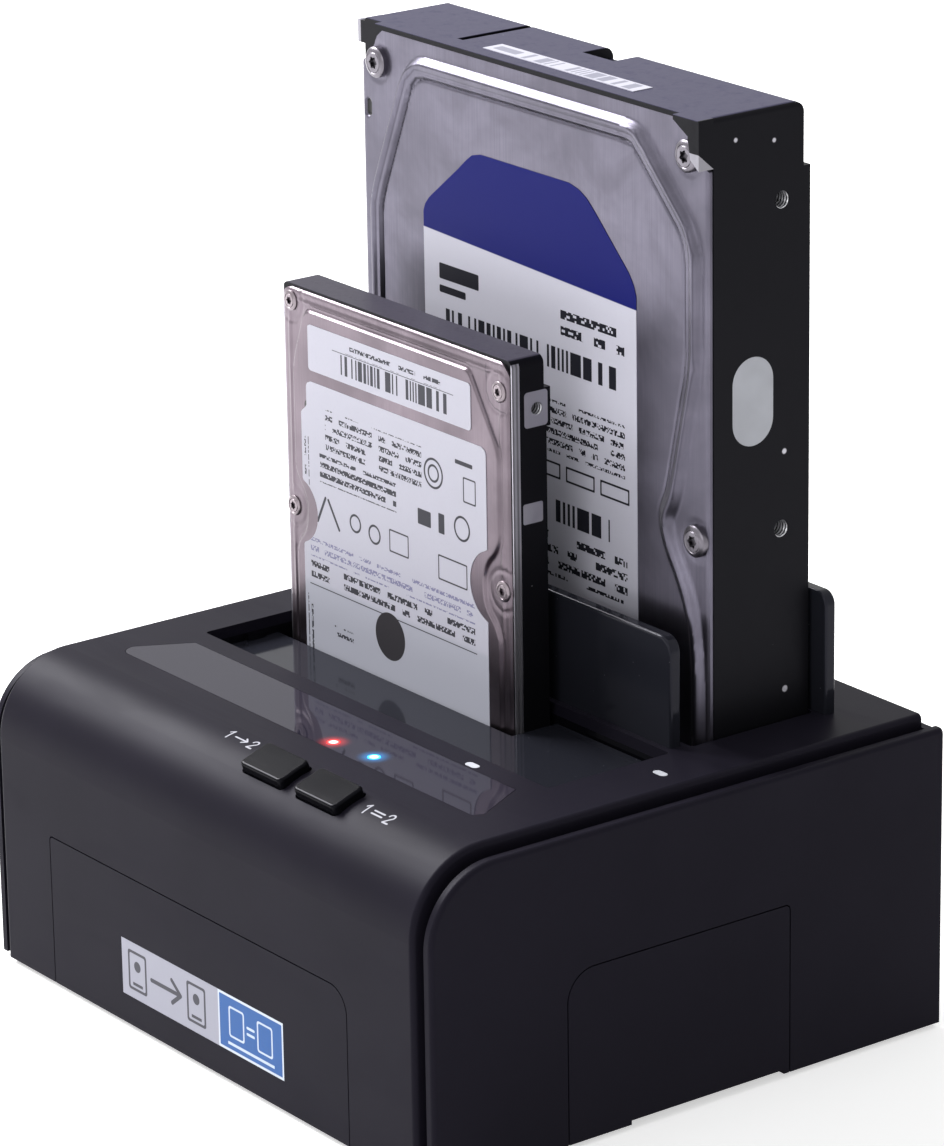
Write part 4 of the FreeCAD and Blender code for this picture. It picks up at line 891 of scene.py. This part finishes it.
def screw(place, x, z, face, head, recess, turn, dome, thick):
    """Points and faces of one screw head that faces -y: a domed disc whose middle sinks where the
    distance from its axis is under recess * (1 + 0.2 cos 6 angle), the six-lobed drive."""
    angle = np.linspace(0, 2 * np.pi, 48, endpoint=False)
    radius = np.array([0.05, 0.35, 0.6, 0.78, 0.92, 1.0, 1.08, 1.25, 1.55, 1.65, 1.75, 1.85, 2.1, 2.3,
                       2.45, 2.5])[:, None]
    lobes = recess * (1 + 0.2 * np.cos(6 * (angle + turn)))
    lip, rim = 1.08, 2.5
    scale = np.where(radius <= lip, radius * lobes,
                     recess * 1.3 + (radius - lip) / (rim - lip) * (head - recess * 1.3))
    sink = np.interp(radius, [0, 0.92, 1.0, lip], [0.55, 0.55, 0.3, 0.0])
    rise = np.interp(radius, [lip, 1.55, 1.65, 1.75, 1.85, 2.3, rim],
                     [0.0, 0.02, 0.14, 0.14, 0.03, dome * 0.5, dome])
    depth = face + sink + rise + 0 * scale
    rings = np.stack(place.point(x + scale * np.cos(angle), depth, z + scale * np.sin(angle)), axis=-1)
    foot = rings[-1:].copy()
    foot[..., 1] = place.point(0, face + dome + thick, 0)[1]
    grid = np.concatenate([rings, foot])
    rows, columns = grid.shape[:2]
    ring, hub = np.arange(columns), rows * columns
    faces = [*grid_faces(rows, columns, wrap=True), *fan(ring, hub), *fan(hub - columns + ring, hub + 1)]
    return np.concatenate([*grid, grid[:1].mean(axis=1), grid[-1:].mean(axis=1)]), faces


def make_screws(name, place, places, face, head, recess, dome, thick, material, node):
    """All cover screws of one drive in one mesh, each turned further than the one before."""
    screws = [screw(place, x, z, face, head, recess, 0.7 * turn, dome, thick)
              for turn, (x, z) in enumerate(places)]
    piece = mesh_piece(name, *gathered(screws), material, place.body, "screw_steel", smooth=30)
    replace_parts(piece, node)


def sleeve(place, x_out, x_in, y, z, radius):
    """Points and faces of a threaded sleeve along x: its bore's radius swings with depth as a
    saw, radius - 0.16 + 0.24 * triangle(depth / pitch), and its outside is a plain tube."""
    pitch = 0.7
    angle = np.linspace(0, 2 * np.pi, 32, endpoint=False)
    depth = np.linspace(0, 1, 40)
    phase = (depth * abs(x_out - x_in) / pitch)[:, None] - angle / (2 * np.pi)
    bore = radius - 0.16 + 0.24 * np.abs((phase % 1.0) * 2 - 1)
    bore[0] = radius + 0.02
    bore[-1] = radius - 0.16
    rad = np.concatenate([bore, np.full((2, len(angle)), radius + 0.05)])
    xx = np.concatenate([x_out + (x_in - x_out) * depth, [x_in, x_out]])[:, None]
    tube = np.stack(place.point(xx + 0 * rad, y + rad * np.cos(angle), z + rad * np.sin(angle)), axis=-1)
    ring = np.arange(len(angle))
    faces = [*grid_faces(*rad.shape, wrap=True), *joined(ring + rad.size - len(angle), ring)]
    return tube.reshape(-1, 3), faces


def make_threads(name, place, holes, depth_y, radius, reach, material):
    """Threads inside the side holes of one drive, on both sides."""
    sleeves = [sleeve(place, side * (place.half - 0.15), side * (place.half - reach), depth_y, z, radius)
               for side in (-1, 1) for z in holes]
    mesh_piece(name, *gathered(sleeves), material, place.body, "screw_steel", smooth=50)


# ---------------------------------------------------------------- the 2.5 inch drive
def small_plateau():
    """Outline of the small cover's raised middle, once round."""
    side, top, knee = SMALL.half, SMALL.long, SMALL_KNEE
    left = [(4.0, 8.0), (4.0, knee - 7.0), (7.6, knee - 3.5), (7.6, knee + 3.5), (4.0, knee + 7.0),
            (4.0, top - 15.0), (7.4, top - 5.6), (8.6, top - 4.2)]
    right = [(12.0, top - 4.2), (11.2, top - 5.0), (3.4, top - 17.0), (3.4, knee + 8.0), (8.0, knee + 3.6),
             (8.0, knee - 3.6), (3.4, knee - 8.0), (3.4, 8.0)]
    return [(x - side, z) for x, z in left] + [(side - x, z) for x, z in right]


def small_lines(s):
    """Shadow at the slanting end of the raised middle and round the pocket of one corner screw."""
    x, z = SMALL_SCREWS[1]
    pocket = [(x - 3.7, z + 4.4), (x - 3.8, z - 0.8), (x - 3.0, z - 2.3), (x - 1.4, z - 3.3),
              (x + 1.6, z - 3.6)]
    return s.face.stroke((24.2, 95.4), (31.6, 83.8), 0.1, 0.22).most(s.face.path(pocket, 0.1, 0.2) * 0.7)


def small_cover_front(x, z):
    """Depth of the small cover's face: a flat middle at the top level, a rounded step down to the
    rim, a low rib just inside the edge, dishes round the screws and a rolled outer edge."""
    rim = length("plateau") * 0.62
    signed = outside(x, z, rounded(small_plateau() + [small_plateau()[0]], 3.0))
    depth = rim * ease(signed, 0.0, 0.62)
    edge = np.minimum(np.minimum(SMALL.half - 0.5 - np.abs(x), SMALL.long - 0.6 - z), z - 5.0)
    rib = 0.2 * np.exp(-((edge - 2.1) / 0.45) ** 2)
    depth = depth - rib * (signed > 1.2)
    for sx, sz in SMALL_SCREWS:
        away = np.hypot(x - sx, z - sz)
        dish = 1 - ease(away, 1.0, 4.2)
        depth = depth * (1 - dish) + (rim + 0.08) * dish
        depth = depth + 0.12 * np.exp(-((away - 3.9) / 0.4) ** 2)
    roll = np.clip(0.9 - edge, 0, 0.9) / 0.9
    return depth + 0.42 * (1 - np.sqrt(np.clip(1 - roll ** 2, 0, 1))) + 0.01


def make_small_cover():
    """Pressed cover of the 2.5 inch drive."""
    step = length("grid")
    edge = SMALL.half - 0.5
    z = steps((5.0, step), (44.0, step * 0.7), (72.0, step), (88.0, step * 0.5), (SMALL.long - 0.6, step))
    share = (steps((-edge, step * 0.5), (-24.0, step * 1.5), (22.0, step * 0.5), (edge, step)) / edge + 1) / 2
    # painted shade: the small hole's inside is dark, and shadow lines at the raised middle's end and a screw
    # pocket are darkened
    steel = steel_finish("small_cover_steel", SMALL, paint("small_steel"), 0.24,
                         lambda s: s.face.disc((-26.6, 78.0), 1.0), small_lines)
    cover = plate("small_pressed_cover", SMALL, small_cover_front, 0.98, -edge, edge, (2.5, 2.5), z, share,
                  steel, "small_cover_steel")
    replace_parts(cover, "small_cover")


def make_small_labels():
    """Both labels of the 2.5 inch drive; the large one has round notches beside the middle screws."""
    film, top = length("film"), SMALL.long
    z = np.linspace(10.0, top - 17.3, 170)

    def notch(depth, radius):
        chord = np.sqrt(np.clip(radius ** 2 - (z - SMALL_KNEE) ** 2, 0, None))
        return np.clip(chord - (radius - depth), 0, None)

    def label(name, left, right, corners, z, film_name, art):
        return plate(name, SMALL, lambda x, z: 0 * x - film, 0.02, left, right, corners, z, LABEL_COLUMNS,
                     label_finish(film_name, SMALL, art), "paper_white")

    lobe = 1.8 * ease(z, top - 24.0, top - 22.0)
    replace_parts(label("small_face_label", notch(4.6, 6.4) + lobe - 28.6, 28.4 - notch(5.2, 7.0), (1, 1.4),
                      z, "small_label_film", small_label_art), "small_main_label")
    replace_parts(label("small_upper_label", -25.9, 24.1, (0.7, 0.7), np.linspace(top - 15.1, top - 6.3, 40),
                      "small_upper_film", small_top_art), "small_top_label")


# ---------------------------------------------------------------- details of the boards
def soft_box(place, centre, half, bevel):
    """Points and faces of a box whose upper rim is cut by a bevel; its middle faces +y.
    A superellipse ring, sign(cos) |cos|^0.16 by sign(sin) |sin|^0.16, stands at three levels:
    full, full, and smaller by the bevel."""
    count, power = 32, 0.16
    angle = np.linspace(0, 2 * np.pi, count, endpoint=False) + np.pi / count
    unit_a, unit_b = (np.sign(wave) * np.abs(wave) ** power for wave in (np.cos(angle), np.sin(angle)))
    rings = [place.point(centre[0] + unit_a * (half[0] - shrink), np.full(count, centre[1] + level),
                         centre[2] + unit_b * (half[2] - shrink))
             for shrink, level in ((0, 0), (0, half[1] * 2 - bevel), (bevel, half[1] * 2))]
    rings = [np.stack(made, axis=-1) for made in rings]
    caps = [rings[0].mean(axis=0, keepdims=True), rings[-1].mean(axis=0, keepdims=True)]
    ring, hub = np.arange(count), 3 * count
    faces = [*grid_faces(3, count, wrap=True), *fan(ring, hub), *fan(2 * count + ring, hub + 1)]
    return np.concatenate([*rings, *caps]), faces


def make_board_parts(name, place, back, parts):
    """Chips and small parts that stand on a drive's own board, facing the rear."""
    boxes = [soft_box(place, (x, back, z), (half_x, tall / 2, half_z), 0.15)
             for x, z, half_x, half_z, tall in parts]
    mesh_piece(name, *gathered(boxes), moulded_finish(name + "_black", (24, 24, 26), 0.4), place.body,
               "chip_black", smooth=40)


# ---------------------------------------------------------------- operators
class DUPLICATOR_OT_housing(bpy.types.Operator):
    """Finishes the housing, its covers, feet and screws"""
    bl_idname = "duplicator.housing"
    bl_label = "Housing"

    def execute(self, context):
        dress(shell_finish("nose_plastic", marks=True), "upper_shell")
        for node in ("right_side_panel", "left_side_panel", "right_blank_cover", "left_blank_cover",
                     "rear_panel", "base_plate", "front_blank_cover"):
            dress(shell_finish(node + "_plastic", tuple(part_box(node)[0])), node)
        rubber = rubber_finish()
        steel = screw_finish("case_screw_steel", (120, 120, 124))
        for number in range(1, 5):
            dress(rubber, "rubber_foot_%d" % number)
            dress(steel, "case_screw_%d" % number)
        dress(sticker_finish(), "front_label")
        return {"FINISHED"}


class DUPLICATOR_OT_bays(bpy.types.Operator):
    """Finishes the bays, their flaps, pins and guard walls"""
    bl_idname = "duplicator.bays"
    bl_label = "Bays"

    def execute(self, context):
        for node in ("bay_tray", "rear_bay_flap"):
            dress(gloss_finish(node + "_gloss", paint("gloss")), node)
        for node in ("front_bay_flap", "front_guard_wall", "rear_guard_wall"):
            dress(gloss_finish(node + "_gloss", paint("walls")), node)
        dress(screw_finish("pin_steel"), "front_flap_pin", "rear_flap_pin")
        return {"FINISHED"}


class DUPLICATOR_OT_controls(bpy.types.Operator):
    """Finishes the status strip, lamps, indicators and keys"""
    bl_idname = "duplicator.controls"
    bl_label = "Controls"

    def execute(self, context):
        dress(strip_finish(), "status_window")
        dress(lamp_finish("red_led", (255, 40, 36), 3.0), "red_led")
        dress(lamp_finish("blue_led", (40, 160, 255), 3.0), "blue_led")
        dress(lens_finish(), "front_bay_indicator", "rear_bay_indicator")
        gloss = paint("gloss")
        for node in ("backup_button", "mirror_button"):
            dress(gloss_finish(node + "_gloss", gloss, 0.1, 0.05), node)
        dress(gloss_finish("rocker_gloss", gloss, 0.2), "power_rocker")
        dress(moulded_finish("key_switch_black", (26, 26, 28)), "backup_key_switch", "mirror_key_switch")
        return {"FINISHED"}


class DUPLICATOR_OT_electronics(bpy.types.Operator):
    """Finishes the boards, sockets and chip"""
    bl_idname = "duplicator.electronics"
    bl_label = "Electronics"

    def execute(self, context):
        dress(board_finish("main_board_mask", upright=False), "main_board", "switch_board")
        dress(moulded_finish("chip_moulding", (20, 20, 22), 0.4), "bridge_chip")
        dress(moulded_finish("socket_moulding", (16, 16, 18)), "front_drive_socket", "rear_drive_socket",
              "dc_jack", "rocker_frame")
        dress(screw_finish("host_socket_steel"), "usb_socket")
        return {"FINISHED"}


class DUPLICATOR_OT_big_drive(bpy.types.Operator):
    """Builds and finishes the 3.5 inch drive"""
    bl_idname = "duplicator.big_drive"
    bl_label = "3.5 inch drive"

    def execute(self, context):
        # the painted sheen of the casting's top end
        top_sheen_tint = paint("casting_top_sheen")
        dress(casting_finish("big_casting_coat", BIG, top_sheen_tint, big_bare_metal), "hdd_base")
        make_big_cover()
        make_big_label()
        steel = screw_finish("big_screw_steel", (122, 118, 126), BIG, BIG_SCREWS, 1.0)
        make_screws("hdd_star_screws", BIG, BIG_SCREWS, -0.55, 2.9, 0.95, 0.45, 1.0, steel,
                    "hdd_cover_screws")
        make_threads("hdd_side_threads", BIG, (28.5, 70.1, BIG.long - 16.9), 17.05, 1.6, 4.1,
                     screw_finish("big_thread_steel", (206, 206, 210)))
        dress(label_finish("end_label_film", BIG, end_label_art), "hdd_end_label")
        dress(moulded_finish("port_seal_film", (176, 178, 186), 0.4), "hdd_port_seal")
        dress(screw_finish("disc_metal", (205, 205, 210)), "hdd_platter", "hdd_spindle")
        dress(board_finish("hdd_board_mask", BIG.point(0, 0, 0)), "hdd_board")
        dress(moulded_finish("hdd_plug_black", (18, 18, 20)), "hdd_plug")
        back = (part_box("hdd_board")[1].y - BIG.y) / MM - 0.05
        parts = [(-8.0, 52.0, 8.0, 8.0, 0.9), (18.0, 60.0, 5.0, 7.0, 0.8), (20.0, 34.0, 6.5, 4.0, 0.8),
                 (-30.0, 70.0, 3.0, 4.0, 0.9), (-32.0, 40.0, 2.2, 2.2, 0.7), (34.0, 78.0, 2.0, 3.2, 0.8),
                 (2.0, 78.0, 2.4, 1.6, 0.6), (-18.0, 30.0, 1.6, 2.4, 0.6), (36.0, 22.0, 2.4, 2.4, 0.7)]
        make_board_parts("hdd_board_parts", BIG, back, parts)
        return {"FINISHED"}


class DUPLICATOR_OT_small_drive(bpy.types.Operator):
    """Builds and finishes the 2.5 inch drive"""
    bl_idname = "duplicator.small_drive"
    bl_label = "2.5 inch drive"

    def execute(self, context):
        # the second colour is the painted sheen on this casting's top end
        dress(casting_finish("small_casting_coat", SMALL, colour(62, 59, 70), small_bare_metal), "small_base")
        make_small_cover()
        make_small_labels()
        steel = screw_finish("small_screw_steel", (148, 138, 144), SMALL, SMALL_SCREWS, 0.65)
        make_screws("small_star_screws", SMALL, SMALL_SCREWS, 0.12, 1.95, 0.62, 0.25, 0.5, steel,
                    "small_cover_screws")
        make_threads("small_side_threads", SMALL, (14.0, SMALL.long - 9.6), 6.5, 1.25, 2.9,
                     screw_finish("small_thread_steel", (206, 206, 210)))
        dress(board_finish("small_board_mask", SMALL.point(0, 0, 0)), "small_board")
        dress(moulded_finish("small_plug_black", (18, 18, 20)), "small_plug")
        return {"FINISHED"}


class DUPLICATOR_OT_stage(bpy.types.Operator):
    """Adds the floor, the lights, the world and the camera"""
    bl_idname = "duplicator.stage"
    bl_label = "Stage"

    def execute(self, context):
        scene = context.scene
        scene.view_settings.view_transform = "Standard"
        add_floor()
        add_world(scene)
        add_lights()
        add_camera(scene)
        return {"FINISHED"}


class DUPLICATOR_PT_panel(bpy.types.Panel):
    """Lists the steps that build the duplicator"""
    bl_label = "Drive duplicator"
    bl_idname = "DUPLICATOR_PT_panel"
    bl_space_type = "VIEW_3D"
    bl_region_type = "UI"
    bl_category = "Duplicator"

    def draw(self, context):
        for operator in STEPS:
            self.layout.operator(operator.bl_idname)
        for group in (context.scene.duplicator_sizes, context.scene.duplicator_colours):
            box = self.layout.box()
            for key in group.__annotations__:
                box.prop(group, key)


# ---------------------------------------------------------------- stage
def seen_directly(tree):
    """1 for what the camera, a mirror-like surface or glass sees, 0 for soft light."""
    path = tree.node("ShaderNodeLightPath", {}, [], output=None)
    return either(*[Value(tree, path.outputs["Is %s Ray" % kind])
                    for kind in ("Camera", "Glossy", "Transmission")])


def add_floor():
    """Plain pale floor that keeps the object's soft shadow."""
    mesh = bpy.data.meshes.new("floor")
    reach = 3.0
    mesh.from_pydata([(-reach, -reach, 0), (reach, -reach, 0), (reach, reach, 0), (-reach, reach, 0)], [],
                     [(0, 1, 2, 3)])
    floor = bpy.data.objects.new("floor", mesh)
    bpy.context.scene.collection.objects.link(floor)
    s = Shade("floor_paper")
    s.set(Base_Color=(0.9, 0.9, 0.9, 1), Roughness=0.9)
    paper = s.shader.outputs[0]
    glow = s.node("ShaderNodeEmission", {}, {"Color": (1, 1, 1, 1), "Strength": 0.55})
    lit = s.node("ShaderNodeAddShader", {}, [paper, glow])
    blend = s.node("ShaderNodeMixShader", {}, [seen_directly(s), paper, lit])
    s.feed(s.tree.nodes["Material Output"], [("Surface", blend)])
    mesh.materials.append(s.material)


def add_world(scene):
    """White surround for the camera and gloss, and a weak even light for the rest."""
    world = bpy.data.worlds.new("studio")
    world.use_nodes = True
    tree = Tree(world.node_tree)
    tree.feed(world.node_tree.nodes["Background"],
              [("Color", (1, 1, 1, 1)), ("Strength", seen_directly(tree) * 0.7 + 0.3)])
    scene.world = world


def add_area(name, place, target, size, power, tint=(1, 1, 1)):
    """Soft square lamp that looks at a target."""
    light = bpy.data.lights.new(name, "AREA")
    light.shape = "RECTANGLE"
    light.size, light.size_y = size
    light.energy = power
    light.color = tint
    lamp = bpy.data.objects.new(name, light)
    bpy.context.scene.collection.objects.link(lamp)
    lamp.location = place
    lamp.rotation_euler = (Vector(target) - Vector(place)).to_track_quat("-Z", "Y").to_euler()


def add_lights():
    """A long soft lamp on the left for the nose's sheen, one overhead and a weak front fill."""
    add_area("left_lamp", (-0.95, -0.25, 0.85), (0, 0, 0.06), (0.8, 0.5), 29)
    add_area("top_lamp", (0.1, 0.1, 1.3), (0, 0, 0.05), (0.9, 0.9), 2.5)
    add_area("front_lamp", (0.5, -1.2, 0.6), (0, 0, 0.08), (0.9, 0.6), 3)


def add_camera(scene):
    """Long-lens camera at the front right, looking slightly down."""
    azimuth, elevation, roll = math.radians(53.35), math.radians(18.76), math.radians(-0.92)
    distance = 0.86672
    target = Vector((0.0965, -0.0676, 0.1217))
    back = Vector((math.sin(azimuth) * math.cos(elevation), -math.cos(azimuth) * math.cos(elevation),
                   math.sin(elevation)))
    data = bpy.data.cameras.new("camera")
    data.lens = 172.0
    data.sensor_width = 36.0
    data.clip_end = 20
    camera = bpy.data.objects.new("camera", data)
    scene.collection.objects.link(camera)
    turn = back.to_track_quat("Z", "Y").to_matrix() @ Matrix.Rotation(roll, 3, "Z")
    camera.matrix_world = Matrix.Translation(target + back * distance) @ turn.to_4x4()
    scene.camera = camera


# ---------------------------------------------------------------- registration
GROUPS = (DriveSizes, Colours)
STEPS = (DUPLICATOR_OT_stage, DUPLICATOR_OT_housing, DUPLICATOR_OT_bays, DUPLICATOR_OT_controls,
         DUPLICATOR_OT_electronics, DUPLICATOR_OT_big_drive, DUPLICATOR_OT_small_drive)


def register():
    for thing in (*GROUPS, *STEPS, DUPLICATOR_PT_panel):
        bpy.utils.register_class(thing)
    bpy.types.Scene.duplicator_sizes = bpy.props.PointerProperty(type=DriveSizes)
    bpy.types.Scene.duplicator_colours = bpy.props.PointerProperty(type=Colours)


def unregister():
    del bpy.types.Scene.duplicator_colours
    del bpy.types.Scene.duplicator_sizes
    for thing in reversed((*GROUPS, *STEPS, DUPLICATOR_PT_panel)):
        bpy.utils.unregister_class(thing)


def main():
    """Registers the add-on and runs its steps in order."""
    register()
    for step in STEPS:
        group, name = step.bl_idname.split(".")
        getattr(getattr(bpy.ops, group), name)()


if __name__ == "__main__":
    main()
